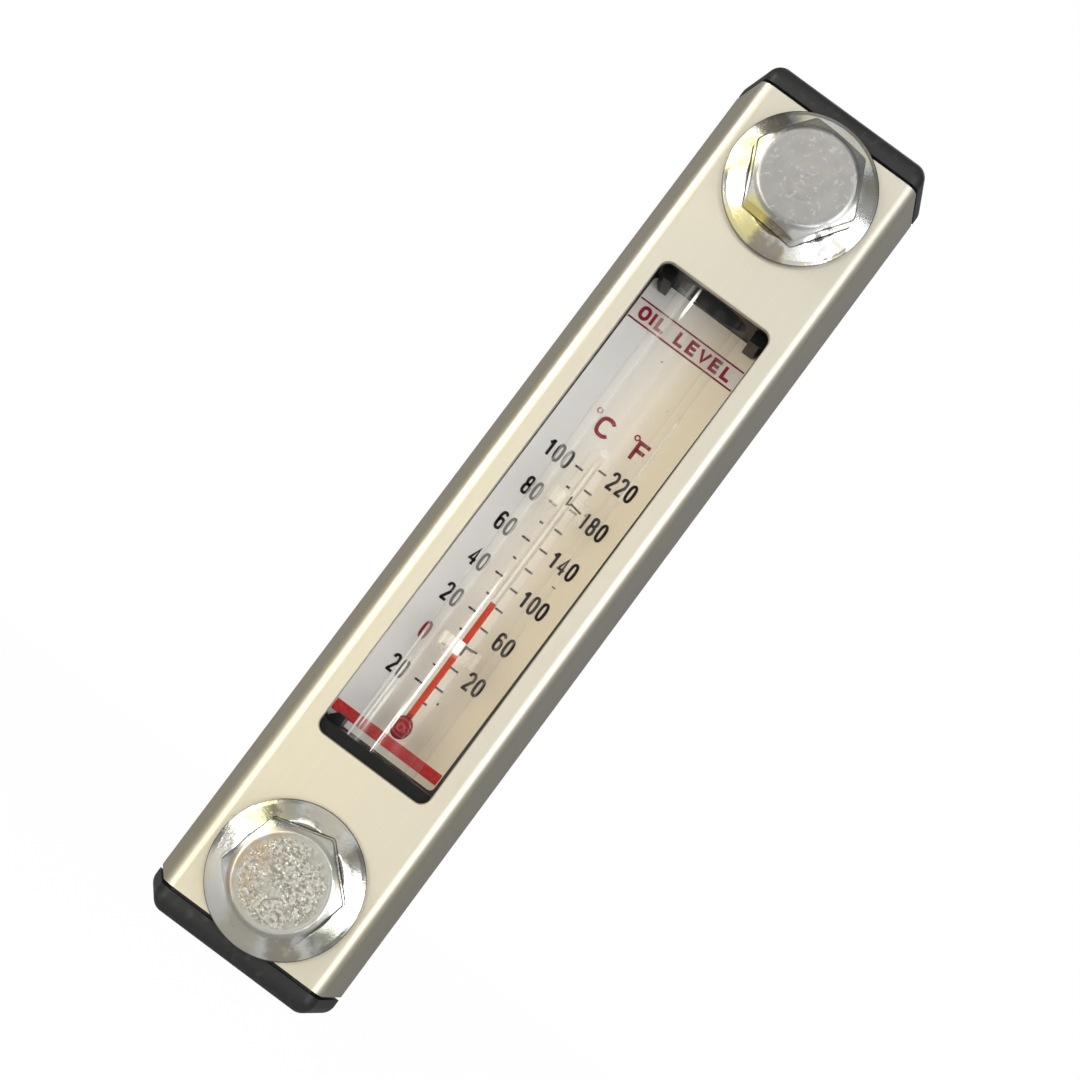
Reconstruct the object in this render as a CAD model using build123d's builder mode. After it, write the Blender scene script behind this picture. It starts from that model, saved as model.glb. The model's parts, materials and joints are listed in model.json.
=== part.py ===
"""Tank level gauge with a thermometer, bolted to a tank wall by two hollow bolts.

Frame: +Z up along the gauge, +Y into the tank, millimetres. The origin is on the
wall, midway between the two bolts. A rise is a height above the wall, towards -Y.
"""

import os
from math import cos, radians, sin, sqrt, tan

from build123d import *

# --- Channel cover ---------------------------------------------------------------
bolt_spacing = 125.0
end_margin = 10.25  # bolt axis to the cover's end
window_margin = 19.85  # bolt axis to the window's end
cover_lift = 0.8  # wall to the cover's side edges
cover_wall = 1.4
cover_corner = 2.0
base_width = 33.4  # across the flared sides, at the wall
front_width = 27.8  # across the sides, at the front
window_width = 19.5
window_corner = 1.6
edge_break = 0.15
cover_fit = 0.15  # block to cover, on each side

# --- End blocks ------------------------------------------------------------------
block_show = 0.85  # block seen inside the window's end, before the lift
insert_lift = 1.05  # blocks' faces, tube, plate and label above the window's middle
lip_gap = 0.6  # groove between the cover's end and the lip
lip_length = 3.5
lip_step = 0.4  # lip below the cover's front
lip_inset = 0.1  # lip inside the cover's sides
lip_round = 2.4
ear_clearance = 1.2  # tube to the ears' inner sides
ear_width = 2.3
ear_length = 1.8
ear_rise = 13.0
left_ear_bevel = 1.0
right_ear_bevel = 0.5
chamber_diameter = 14.0
chamber_height = 6.0
passage_diameter = 4.0

# --- Sight tube ------------------------------------------------------------------
tube_diameter = 12.0
tube_wall = 1.5
tube_back_gap = 0.8  # back plate to the tube
tube_front_gap = 3.3  # tube to the cover's front
socket_depth = 9.0
socket_fit = 0.1
tube_end_gap = 0.5
seal_inset = 3.2  # block face to the seal's groove
seal_groove_width = 2.4
seal_groove_depth = 1.3
seal_fit = 0.03
seal_round = 0.4

# --- Back plate, scale label and its print ---------------------------------------
plate_side_gap = 1.1  # plate to the cover's sides
plate_thickness = 0.7
plate_rise = 1.9  # wall to the plate's front
plate_tuck = 2.6  # depth of the blocks' slots for the plate
plate_fit = 0.05
plate_end_gap = 0.3
label_width = 19.8
label_end_gap = 0.25  # label to the end blocks
label_thickness = 0.15
label_corner = 0.8
label_shift = -0.48  # the label sits a little to the left
label_lift = 0.1  # label above the middle of the plate
label_skew = 0.3  # degrees, clockwise as seen
print_thickness = 0.08
ear_gap = 0.07  # print to the ears' backs
scale_length = 40.2  # between the end ticks of the Celsius scale
scale_inset = 14.45  # window's lower end to its lowest tick
celsius_range = (-20, 100)
fahrenheit_range = (0, 220)
tick_step = 20  # degrees between long ticks, on both scales
fahrenheit_low_dot = -16
fahrenheit_zero = 32
fahrenheit_per_celsius = 1.8
tick_inner = 0.95  # scale's centre line to the ticks
tick_length = 1.4
tick_height = 0.34
dot_length = 0.6
heading_inset = 3.95  # window's upper end to the heading
heading_height = 3.4
rule_height = 0.28
band_inset = 3.4  # window's lower end to the red band
band_height = 1.85
field_margin = 0.15  # label's side to the printed fields

# --- Thermometer -----------------------------------------------------------------
stem_diameter = 3.9
capillary_diameter = 1.0
bulb_glass = 0.35  # glass round the bulb
bulb_length = 3.8
bulb_inset = 7.35  # window's lower end to the bulb's centre
stem_length = 51.1  # bulb's centre to the top of the stem
capillary_top_glass = 1.6
reading = 26.7  # degrees Celsius
clip_diameter = 6.8
clip_height = 2.7
clip_rib = 0.8
clip_fit = 0.05
upper_clip_inset = 48.4  # window's lower end to the clip's middle
lower_clip_inset = 21.4

# --- Hollow bolts and their seals ------------------------------------------------
shank_diameter = 10.0  # over the thread, behind the wall plane
neck_relief = 0.5  # bolt's neck inside the thread's size, in the block
neck_taper = 0.5
shank_reach = 16.0  # bolt behind the wall plane
shank_chamfer = 1.0
hole_fit = 0.2  # thread to the block's hole
head_width = 16.0  # across the hexagon's flats
head_height = 6.1
head_chamfer_margin = 0.9  # hexagon's flats to the chamfer circle
head_chamfer_angle = 30.0
flange_diameter = 23.2
flange_rim = 1.1
flange_height = 2.4
flange_neck_margin = 0.5  # hexagon's flats to the top of the flange's cone
flange_round = 0.3
bolt_bore = 4.0
cross_hole = 3.5
upper_clocking = -4.6  # degrees, turn of each hexagon
lower_clocking = 15.7
cover_hole_fit = 0.2  # head seal to the cover's hole
head_seal_diameter = 16.6
head_seal_seat = 0.6
wall_seal_diameter = 15.8
wall_seal_seat = 1.5
seat_fit = 0.1
seal_bore_fit = 0.1  # thread to the seals' bore

# --- Worked out ------------------------------------------------------------------
cover_length = bolt_spacing + 2 * end_margin
cover_end = cover_length / 2
window_length = bolt_spacing - 2 * window_margin
window_end = window_length / 2
bolt_height = bolt_spacing / 2
half_gap = window_end - block_show  # half the distance between the blocks' faces
lip_start = cover_end + lip_gap
tube_radius = tube_diameter / 2
tube_bore_radius = tube_radius - tube_wall
tube_reach = half_gap + socket_depth - tube_end_gap
tube_rise = plate_rise + tube_back_gap + tube_radius
cover_rise = tube_rise + tube_radius + tube_front_gap
block_rise = cover_rise - cover_wall - cover_fit
inner_corner = cover_corner - cover_wall
lean = (base_width - front_width) / 2 / cover_rise
plate_back = plate_rise - plate_thickness
plate_length = 2 * (half_gap + plate_tuck - plate_end_gap)
label_rise = plate_rise + label_thickness
label_length = 2 * (half_gap - label_end_gap)
field_width = label_width - 2 * field_margin
celsius_low, celsius_high = celsius_range
fahrenheit_low, fahrenheit_high = fahrenheit_range
degree = scale_length / (celsius_high - celsius_low)
bulb_height = bulb_inset - window_end
bulb_diameter = stem_diameter - 2 * bulb_glass
ear_inner = tube_radius + ear_clearance
ear_outer = ear_inner + ear_width
ear_back = label_rise + print_thickness + ear_gap
hole_diameter = shank_diameter + 2 * hole_fit
seal_bore = shank_diameter + 2 * seal_bore_fit
cover_hole_diameter = head_seal_diameter + 2 * cover_hole_fit
hexagon_base = cover_rise + flange_height
head_top = hexagon_base + head_height
SIDES = {"upper": 1, "lower": -1}
CLOCKING = {"upper": upper_clocking, "lower": lower_clocking}
LEFT_EAR = (-1, left_ear_bevel)
RIGHT_EAR = (1, right_ear_bevel)
EARS = {"upper": (LEFT_EAR, RIGHT_EAR), "lower": (LEFT_EAR,)}


def level(side, height):
    """Plane across the gauge at a height, facing away from the middle."""
    return Plane(origin=(0, 0, side * height), x_dir=(side, 0, 0), z_dir=(0, 0, side))


def facing(rise, height=0.0):
    """Plane parallel to the wall, facing the reader, with Z as its own Y."""
    return Plane(origin=(0, -rise, height), x_dir=(1, 0, 0), z_dir=(0, -1, 0))


def label_plane(rise):
    """Plane of the scale label, which is stuck on shifted and a little turned."""
    turn = radians(label_skew)
    across = (cos(turn), 0, -sin(turn))
    return Plane(origin=(label_shift, -rise, 0), x_dir=across, z_dir=(0, -1, 0))


def turning(height):
    """Plane through a bolt's axis: its X is a radius, its Y is a rise."""
    return Plane(origin=(0, 0, height), x_dir=(1, 0, 0), z_dir=(0, 0, -1))


def bolt_axis(height):
    """Axis of a bolt, out of the wall."""
    return Axis((0, 0, height), (0, -1, 0))


def half_width(rise, inset):
    """Half the channel's width at a rise, with the sides moved in by an inset."""
    return base_width / 2 - lean * rise - inset * sqrt(1 + lean * lean)


def channel_section(low, high, inset, corner):
    """Face of the flared channel between two rises, with its front corners rounded."""
    foot = half_width(low, inset)
    front = half_width(high, inset)
    with BuildSketch() as section:
        with BuildLine():
            Polyline((-foot, -low), (foot, -low), (front, -high), (-front, -high), close=True)
        make_face()
        fillet(section.vertices().group_by(Axis.Y)[0], corner)
    return section.sketch


def celsius(value):
    """Height of a Celsius reading on the scale."""
    return scale_inset - window_end + degree * (value - celsius_low)


def fahrenheit(value):
    """Height of a Fahrenheit reading on the scale."""
    return celsius((value - fahrenheit_zero) / fahrenheit_per_celsius)


def write(part, name):
    """Label a finished piece and write its STEP file."""
    part.label = name
    export_step(part, f"parts/{name}.step")


os.makedirs("parts", exist_ok=True)

# --- Channel cover ---------------------------------------------------------------
with BuildPart() as cover:
    with BuildSketch(Plane.XY.offset(-cover_end)):
        add(channel_section(cover_lift, cover_rise, 0, cover_corner))
    extrude(amount=cover_length)
    with BuildSketch(Plane.XY.offset(-cover_end)):
        add(channel_section(0, cover_rise - cover_wall, cover_wall, inner_corner))
    extrude(amount=cover_length, mode=Mode.SUBTRACT)
    with BuildSketch(facing(cover_rise)):
        RectangleRounded(window_width, window_length, window_corner)
    extrude(amount=-2 * cover_wall, mode=Mode.SUBTRACT)
    front = cover.faces().sort_by(Axis.Y)[0]
    chamfer(front.inner_wires()[0].edges(), edge_break)
    with BuildSketch(facing(cover_rise)):
        with GridLocations(0, bolt_spacing, 1, 2):
            Circle(cover_hole_diameter / 2)
    extrude(amount=-2 * cover_wall, mode=Mode.SUBTRACT)
write(cover.part, "cover")

# --- End blocks ------------------------------------------------------------------
plate_width = 2 * (half_width(plate_back, cover_wall) - plate_side_gap)
for end, side in SIDES.items():
    bolt_at = side * bolt_height
    block_face = half_gap + side * insert_lift
    with BuildPart() as block:
        with BuildSketch(level(side, lip_start)):
            add(channel_section(0, cover_rise - lip_step, lip_inset, cover_corner))
        extrude(amount=lip_length)
        tip = block.faces().sort_by(Axis.Z)[-1 if side > 0 else 0]
        wall_edge = tip.edges().sort_by(Axis.Y)[-1]
        fillet([edge for edge in tip.edges() if edge != wall_edge], lip_round)
        with BuildSketch(level(side, block_face)):
            add(channel_section(0, block_rise, cover_wall + cover_fit, inner_corner))
        extrude(amount=lip_start - block_face)
        ear_middle = (ear_inner + ear_outer) / 2
        for hand, bevel in EARS[end]:
            with BuildSketch(level(side, block_face - ear_length)):
                with Locations((hand * side * ear_middle, -(ear_back + ear_rise) / 2)):
                    Rectangle(ear_width, ear_rise - ear_back)
            extrude(amount=ear_length)
            ear_tip = side * (block_face - ear_length)
            outer_corner = (hand * ear_outer, -(ear_back + ear_rise) / 2, ear_tip)
            corner_edges = block.edges().filter_by(Axis.Y).sort_by_distance(outer_corner)
            chamfer(corner_edges[0], bevel)
        with BuildSketch(level(side, block_face)):
            with Locations((0, -tube_rise)):
                Circle(tube_radius + socket_fit)
        extrude(amount=socket_depth, mode=Mode.SUBTRACT)
        with BuildSketch(level(side, block_face)):
            with Locations((0, plate_thickness / 2 - plate_rise)):
                Rectangle(plate_width + 2 * plate_fit, plate_thickness + 2 * plate_fit)
        extrude(amount=plate_tuck, mode=Mode.SUBTRACT)
        with BuildSketch(level(side, block_face + seal_inset)):
            with Locations((0, -tube_rise)):
                Circle(tube_radius + seal_groove_depth)
        extrude(amount=seal_groove_width, mode=Mode.SUBTRACT)
        with BuildSketch(level(side, block_face + socket_depth)):
            with Locations((0, -tube_rise)):
                Circle(passage_diameter / 2)
        extrude(amount=bolt_height - block_face - socket_depth, mode=Mode.SUBTRACT)
        with BuildSketch(facing(0, bolt_at)):
            Circle(hole_diameter / 2)
        extrude(amount=block_rise, mode=Mode.SUBTRACT)
        with BuildSketch(facing(tube_rise, bolt_at)):
            Circle(chamber_diameter / 2)
        extrude(amount=chamber_height / 2, both=True, mode=Mode.SUBTRACT)
        with BuildSketch(facing(block_rise, bolt_at)):
            Circle(head_seal_diameter / 2 + seat_fit)
        extrude(amount=-head_seal_seat, mode=Mode.SUBTRACT)
        with BuildSketch(facing(0, bolt_at)):
            Circle(wall_seal_diameter / 2 + seat_fit)
        extrude(amount=wall_seal_seat, mode=Mode.SUBTRACT)
    write(block.part, f"{end}_end_block")

# --- Sight tube and the rings that seal it ---------------------------------------
with BuildPart() as sight_tube:
    with BuildSketch(Plane.XY.offset(insert_lift - tube_reach)):
        with Locations((0, -tube_rise)):
            Circle(tube_radius)
            Circle(tube_bore_radius, mode=Mode.SUBTRACT)
    extrude(amount=2 * tube_reach)
write(sight_tube.part, "sight_tube")

for end, side in SIDES.items():
    ring_middle = insert_lift + side * (half_gap + seal_inset + seal_groove_width / 2)
    ring_radius = tube_radius + seal_groove_depth / 2
    with BuildPart() as tube_seal:
        with BuildSketch(Plane.XZ.offset(tube_rise)):
            with Locations((ring_radius, ring_middle)):
                RectangleRounded(
                    seal_groove_depth - 2 * seal_fit,
                    seal_groove_width - 2 * seal_fit,
                    seal_round,
                )
        revolve(axis=Axis((0, -tube_rise, 0), (0, 0, 1)))
    write(tube_seal.part, f"{end}_tube_seal")

# --- Back plate, scale label and its print ---------------------------------------
with BuildPart() as back_plate:
    with BuildSketch(facing(plate_back, insert_lift)):
        Rectangle(plate_width, plate_length)
    extrude(amount=plate_thickness)
write(back_plate.part, "back_plate")

with BuildPart() as scale_label:
    with BuildSketch(label_plane(plate_rise)):
        with Locations((0, insert_lift + label_lift)):
            RectangleRounded(label_width, label_length, label_corner)
    extrude(amount=label_thickness)
write(scale_label.part, "scale_label")

heading_middle = window_end - heading_inset - heading_height / 2
with BuildPart() as heading_band:
    with BuildSketch(label_plane(label_rise)):
        with Locations((0, heading_middle)):
            Rectangle(field_width, heading_height - rule_height)
    extrude(amount=print_thickness)
write(heading_band.part, "heading_band")

band_middle = band_inset + band_height / 2 - window_end
with BuildPart() as red_print:
    with BuildSketch(label_plane(label_rise)):
        with Locations((0, heading_middle)):
            with GridLocations(0, heading_height, 1, 2):
                Rectangle(field_width, rule_height)
        with Locations((0, band_middle)):
            Rectangle(field_width, band_height)
    extrude(amount=print_thickness)
write(red_print.part, "red_print")

half_step = tick_step // 2
with BuildPart() as scale_marks:
    with BuildSketch(label_plane(label_rise)):
        for value in range(celsius_low, celsius_high + 1, tick_step):
            with Locations((-tick_inner - tick_length / 2, celsius(value))):
                Rectangle(tick_length, tick_height)
        for value in range(celsius_low + half_step, celsius_high, tick_step):
            with Locations((-tick_inner - dot_length / 2, celsius(value))):
                Rectangle(dot_length, tick_height)
        for value in range(fahrenheit_low, fahrenheit_high + 1, tick_step):
            with Locations((tick_inner + tick_length / 2, fahrenheit(value))):
                Rectangle(tick_length, tick_height)
        with Locations((tick_inner + dot_length / 2, fahrenheit(fahrenheit_low_dot))):
            Rectangle(dot_length, tick_height)
    extrude(amount=print_thickness)
write(scale_marks.part, "scale_marks")

# --- Thermometer -----------------------------------------------------------------
stem_axis = Axis((0, -tube_rise, 0), (0, 0, 1))
stem_plane = Plane.XZ.offset(tube_rise)
stem_radius = stem_diameter / 2
stem_top = bulb_height + stem_length
stem_foot = bulb_height - bulb_length / 2 - bulb_glass


def spirit_outline(top):
    """Half the outline of the bulb and of the capillary above it, up to a height."""
    with BuildSketch() as outline:
        with Locations((0, bulb_height)):
            Ellipse(bulb_diameter / 2, bulb_length / 2)
        with Locations((0, (bulb_height + top) / 2)):
            Rectangle(capillary_diameter, top - bulb_height)
        with Locations((bulb_diameter, 0)):
            Rectangle(2 * bulb_diameter, 2 * cover_length, mode=Mode.INTERSECT)
    return outline.sketch


with BuildPart() as thermometer_glass:
    with BuildSketch(stem_plane):
        with BuildLine():
            Line((0, stem_foot), (0, stem_top))
            RadiusArc((0, stem_top), (stem_radius, stem_top - stem_radius), stem_radius)
            Line((stem_radius, stem_top - stem_radius), (stem_radius, stem_foot + stem_radius))
            RadiusArc((stem_radius, stem_foot + stem_radius), (0, stem_foot), stem_radius)
        make_face()
        add(spirit_outline(stem_top - capillary_top_glass), mode=Mode.SUBTRACT)
    revolve(axis=stem_axis)
write(thermometer_glass.part, "thermometer_glass")

with BuildPart() as thermometer_spirit:
    with BuildSketch(stem_plane):
        add(spirit_outline(celsius(reading)))
    revolve(axis=stem_axis)
write(thermometer_spirit.part, "thermometer_spirit")

clip_insets = {"upper": upper_clip_inset, "lower": lower_clip_inset}
for end, inset in clip_insets.items():
    clip_foot = inset - window_end - clip_height / 2
    rib_reach = tube_bore_radius - clip_fit
    with BuildPart() as clip:
        with BuildSketch(Plane.XY.offset(clip_foot)):
            with Locations((0, -tube_rise)):
                with PolarLocations(rib_reach / 2, 4, 45):
                    Rectangle(rib_reach, clip_rib)
                Circle(clip_diameter / 2)
                Circle(stem_radius + clip_fit, mode=Mode.SUBTRACT)
        extrude(amount=clip_height)
    write(clip.part, f"{end}_thermometer_clip")

# --- Hollow bolts and their seals ------------------------------------------------
shank_radius = shank_diameter / 2
neck_radius = shank_radius - neck_relief
flange_radius = flange_diameter / 2
flange_neck_radius = head_width / 2 + flange_neck_margin
head_corner_radius = head_width / 2 / cos(radians(30))
head_chamfer_radius = head_width / 2 - head_chamfer_margin
chamfer_drop = (head_corner_radius - head_chamfer_radius) * tan(radians(head_chamfer_angle))
for end, side in SIDES.items():
    bolt_at = side * bolt_height
    with BuildPart() as bolt:
        with BuildSketch(turning(bolt_at)):
            with BuildLine():
                Polyline(
                    (0, -shank_reach),
                    (shank_radius - shank_chamfer, -shank_reach),
                    (shank_radius, shank_chamfer - shank_reach),
                    (shank_radius, 0),
                    (neck_radius, neck_taper),
                    (neck_radius, cover_rise),
                    (flange_radius - flange_round, cover_rise),
                    (flange_radius, cover_rise + flange_round),
                    (flange_radius, cover_rise + flange_rim),
                    (flange_neck_radius, hexagon_base),
                    (0, hexagon_base),
                    close=True,
                )
            make_face()
        revolve(axis=bolt_axis(bolt_at))
        with BuildSketch(facing(hexagon_base, bolt_at)):
            RegularPolygon(head_width / 2, 6, major_radius=False, rotation=CLOCKING[end])
        extrude(amount=head_height)
        with BuildSketch(turning(bolt_at)):
            with BuildLine():
                Polyline(
                    (head_chamfer_radius, head_top),
                    (head_corner_radius, head_top - chamfer_drop),
                    (head_corner_radius, head_top),
                    close=True,
                )
            make_face()
        revolve(axis=bolt_axis(bolt_at), mode=Mode.SUBTRACT)
        with BuildSketch(facing(-shank_reach, bolt_at)):
            Circle(bolt_bore / 2)
        extrude(amount=shank_reach + tube_rise, mode=Mode.SUBTRACT)
        with BuildSketch(Plane.XY.offset(bolt_at)):
            with Locations((0, -tube_rise)):
                Circle(cross_hole / 2)
        extrude(amount=shank_radius, both=True, mode=Mode.SUBTRACT)
    write(bolt.part, f"{end}_bolt")

    with BuildPart() as head_seal:
        with BuildSketch(facing(block_rise - head_seal_seat, bolt_at)):
            Circle(head_seal_diameter / 2)
            Circle(seal_bore / 2, mode=Mode.SUBTRACT)
        extrude(amount=cover_rise - block_rise + head_seal_seat)
    write(head_seal.part, f"{end}_head_seal")

    with BuildPart() as wall_seal:
        with BuildSketch(facing(0, bolt_at)):
            Circle(wall_seal_diameter / 2)
            Circle(seal_bore / 2, mode=Mode.SUBTRACT)
        extrude(amount=wall_seal_seat)
    write(wall_seal.part, f"{end}_wall_seal")
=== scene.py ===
"""Looks of a tank level gauge with a thermometer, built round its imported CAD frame.

The frame's axes are kept: +Z up along the gauge, +Y into the tank, metres. Sizes are
written in millimetres and turned into metres by MM. A rise is a height above the tank
wall, towards -Y, as in the part's own source.
"""

from __future__ import annotations

import json
import logging
import math
from collections.abc import Callable, Iterable, Sequence
from dataclasses import dataclass
from enum import Enum

import bmesh
import bpy
from mathutils import Matrix, Vector, noise

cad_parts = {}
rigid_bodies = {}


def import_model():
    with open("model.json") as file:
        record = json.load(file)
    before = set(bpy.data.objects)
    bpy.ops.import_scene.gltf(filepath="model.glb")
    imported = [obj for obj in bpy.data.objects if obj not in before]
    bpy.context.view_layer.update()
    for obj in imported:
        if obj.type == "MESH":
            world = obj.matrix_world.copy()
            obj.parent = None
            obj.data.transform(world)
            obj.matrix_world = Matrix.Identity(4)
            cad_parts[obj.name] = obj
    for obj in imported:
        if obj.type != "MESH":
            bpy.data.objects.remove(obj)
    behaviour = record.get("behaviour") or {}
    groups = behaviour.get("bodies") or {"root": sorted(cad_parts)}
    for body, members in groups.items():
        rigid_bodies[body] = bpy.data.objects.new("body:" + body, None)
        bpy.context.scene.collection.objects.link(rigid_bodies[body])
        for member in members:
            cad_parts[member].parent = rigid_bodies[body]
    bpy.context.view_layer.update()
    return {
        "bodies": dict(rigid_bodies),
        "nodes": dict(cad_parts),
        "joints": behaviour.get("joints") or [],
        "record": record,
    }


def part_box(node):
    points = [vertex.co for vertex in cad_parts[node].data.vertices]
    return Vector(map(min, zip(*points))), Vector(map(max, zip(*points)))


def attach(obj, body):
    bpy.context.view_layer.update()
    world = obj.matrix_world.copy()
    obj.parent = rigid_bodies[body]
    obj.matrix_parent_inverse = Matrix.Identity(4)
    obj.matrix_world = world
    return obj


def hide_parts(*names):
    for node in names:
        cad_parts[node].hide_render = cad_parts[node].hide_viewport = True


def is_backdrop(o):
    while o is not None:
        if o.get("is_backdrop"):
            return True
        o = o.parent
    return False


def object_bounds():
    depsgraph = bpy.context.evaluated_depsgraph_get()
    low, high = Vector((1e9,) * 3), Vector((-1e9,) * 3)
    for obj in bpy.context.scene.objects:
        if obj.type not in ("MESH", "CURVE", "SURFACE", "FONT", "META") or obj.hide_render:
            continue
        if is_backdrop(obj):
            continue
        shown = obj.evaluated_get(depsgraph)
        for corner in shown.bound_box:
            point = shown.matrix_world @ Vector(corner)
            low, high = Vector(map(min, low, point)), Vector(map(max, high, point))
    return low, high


LOG = logging.getLogger("gauge")
MM = 0.001
TURN = 2 * math.pi
# Numbers of the Mix node's two colour sockets and of its colour output.
MIX_COLOURS = (6, 7)
MIX_RESULT = 2
# Degrees between the points of a round stroke, and the power that squares it off.
ARC_STEP = 12
ARC_SQUARENESS = 0.8
Colour = tuple[float, float, float]
Triple = tuple[float, float, float]
Point = tuple[float, float]
Ring = Callable[[float], Point]
WHITE: Colour = (1, 1, 1)


class End(Enum):
    """An end of the gauge, with the sign of its height."""

    UPPER = 1
    LOWER = -1

    def node(self, piece: str) -> str:
        """Name of this end's CAD node for a kind of piece."""
        return f"{self.name.lower()}_{piece}"


class Crown(Enum):
    """How the flat top of a bolt's head is finished."""

    TURNED = "turned"
    PITTED = "pitted"


# --- Shader graphs ---------------------------------------------------------------
class Value:
    """A number in a shader, on which Python's operators add Math nodes."""

    def __init__(self, graph: Graph, socket: bpy.types.NodeSocket) -> None:
        """Wraps an output socket.

        Args:
            graph: The graph that the socket belongs to.
            socket: The output socket that gives the number.
        """
        self.graph = graph
        self.socket = socket

    def __add__(self, other: Value | float) -> Value:
        """This number plus another."""
        return self.graph.math("ADD", self, other)

    def __sub__(self, other: Value | float) -> Value:
        """This number minus another."""
        return self.graph.math("SUBTRACT", self, other)

    def __rsub__(self, other: float) -> Value:
        """Another number minus this one."""
        return self.graph.math("SUBTRACT", other, self)

    def __mul__(self, other: Value | float) -> Value:
        """This number times another."""
        return self.graph.math("MULTIPLY", self, other)

    def __truediv__(self, other: Value | float) -> Value:
        """This number divided by another."""
        return self.graph.math("DIVIDE", self, other)

    def __pow__(self, other: float) -> Value:
        """This number to a power."""
        return self.graph.math("POWER", self, other)

    def __abs__(self) -> Value:
        """This number without its sign."""
        return self.graph.math("ABSOLUTE", self)

    __radd__ = __add__
    __rmul__ = __mul__


Input = Value | float | Sequence[float]


def opaque(colour: Value | Sequence[float]) -> Value | tuple[float, ...]:
    """Gives a plain colour its alpha, and leaves a linked one as it is."""
    return colour if isinstance(colour, Value) else (*colour, 1)


class Graph:
    """A node tree that is written as expressions."""

    def __init__(self, tree: bpy.types.NodeTree) -> None:
        """Empties a node tree.

        Args:
            tree: The node tree of a material or of the world.
        """
        self.tree = tree
        tree.nodes.clear()

    def node(
        self,
        kind: str,
        settings: dict[str, object] | None = None,
        inputs: dict[str | int, Input] | None = None,
    ) -> bpy.types.Node:
        """Adds a node.

        Args:
            kind: The node's type, without ShaderNode.
            settings: Its properties, which are set first.
            inputs: Values or links, by the socket's name or number.

        Returns:
            The new node.
        """
        made = self.tree.nodes.new("ShaderNode" + kind)
        for name, setting in (settings or {}).items():
            setattr(made, name, setting)
        for name, given in (inputs or {}).items():
            self.feed(made.inputs[name], given)
        return made

    def feed(self, socket: bpy.types.NodeSocket, given: Input) -> None:
        """Links a value to an input socket, or sets the socket to a constant.

        Args:
            socket: The input socket.
            given: The value, or the constant.
        """
        if isinstance(given, Value):
            self.tree.links.new(given.socket, socket)
        else:
            socket.default_value = given

    def out(
        self,
        kind: str,
        output: str | int,
        settings: dict[str, object] | None = None,
        inputs: dict[str | int, Input] | None = None,
    ) -> Value:
        """Adds a node and gives one of its outputs."""
        return Value(self, self.node(kind, settings, inputs).outputs[output])

    def math(self, operation: str, *numbers: Value | float) -> Value:
        """Adds a Math node for one operation."""
        return self.out("Math", 0, {"operation": operation}, dict(enumerate(numbers)))

    def vector(self, operation: str, *given: Input) -> Value:
        """Adds a Vector Math node that gives a vector."""
        return self.out("VectorMath", 0, {"operation": operation}, dict(enumerate(given)))

    def dot(self, one: Input, other: Input) -> Value:
        """Adds a dot product of two vectors."""
        settings = {"operation": "DOT_PRODUCT"}
        return self.out("VectorMath", "Value", settings, {0: one, 1: other})

    def place(self, stretch: Sequence[float] = (1, 1, 1)) -> Value:
        """Gives the place on the object in millimetres, with each axis stretched."""
        here = self.out("TexCoord", "Object")
        return self.vector("MULTIPLY", here, [share / MM for share in stretch])

    def noise(self, scale: float, detail: float = 3, stretch: Sequence[float] = (1, 1, 1)) -> Value:
        """Gives noise between 0 and 1.

        Args:
            scale: Features to a millimetre.
            detail: Octaves of finer noise.
            stretch: Factors on the three axes.

        Returns:
            The noise's value.
        """
        inputs = {"Vector": self.place(stretch), "Scale": scale, "Detail": detail}
        return self.out("TexNoise", 0, None, inputs)

    def step(self, value: Value, low: float, high: float) -> Value:
        """Gives a smooth step from 0 at low to 1 at high.

        Args:
            value: The number that is tested.
            low: Where the step starts.
            high: Where the step is complete.

        Returns:
            The share, from 0 to 1.
        """
        settings = {"interpolation_type": "SMOOTHSTEP"}
        inputs = {"Value": value, "From Min": low, "From Max": high}
        return self.out("MapRange", 0, settings, inputs)

    def coordinate(self, letter: str) -> Value:
        """Gives the place along one axis, in millimetres."""
        return self.out("SeparateXYZ", letter, None, {"Vector": self.place()})

    def blend(self, share: Value | float, one: Value | Colour, other: Value | Colour) -> Value:
        """Mixes two colours by a share."""
        colours = dict(zip(MIX_COLOURS, (opaque(one), opaque(other))))
        return self.out("Mix", MIX_RESULT, {"data_type": "RGBA"}, {0: share, **colours})

    def layer(self, share: Value | float, under: Value, over: Value) -> Value:
        """Lays one shader over another, by the share that it covers."""
        return self.out("MixShader", 0, None, {0: share, 1: under, 2: over})

    def bump(self, height: Value, depth: float, strength: float = 1.0) -> Value:
        """Gives a normal from a height.

        Args:
            height: The height, between 0 and 1.
            depth: What a height of 1 stands for, in millimetres.
            strength: Share of the effect.

        Returns:
            The bumped normal.
        """
        inputs = {"Height": height, "Distance": depth * MM, "Strength": strength}
        return self.out("Bump", "Normal", None, inputs)

    def finish(self, shader: Value, output: str = "OutputMaterial") -> None:
        """Links a shader to the tree's output."""
        self.node(output, None, {"Surface": shader})


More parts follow.
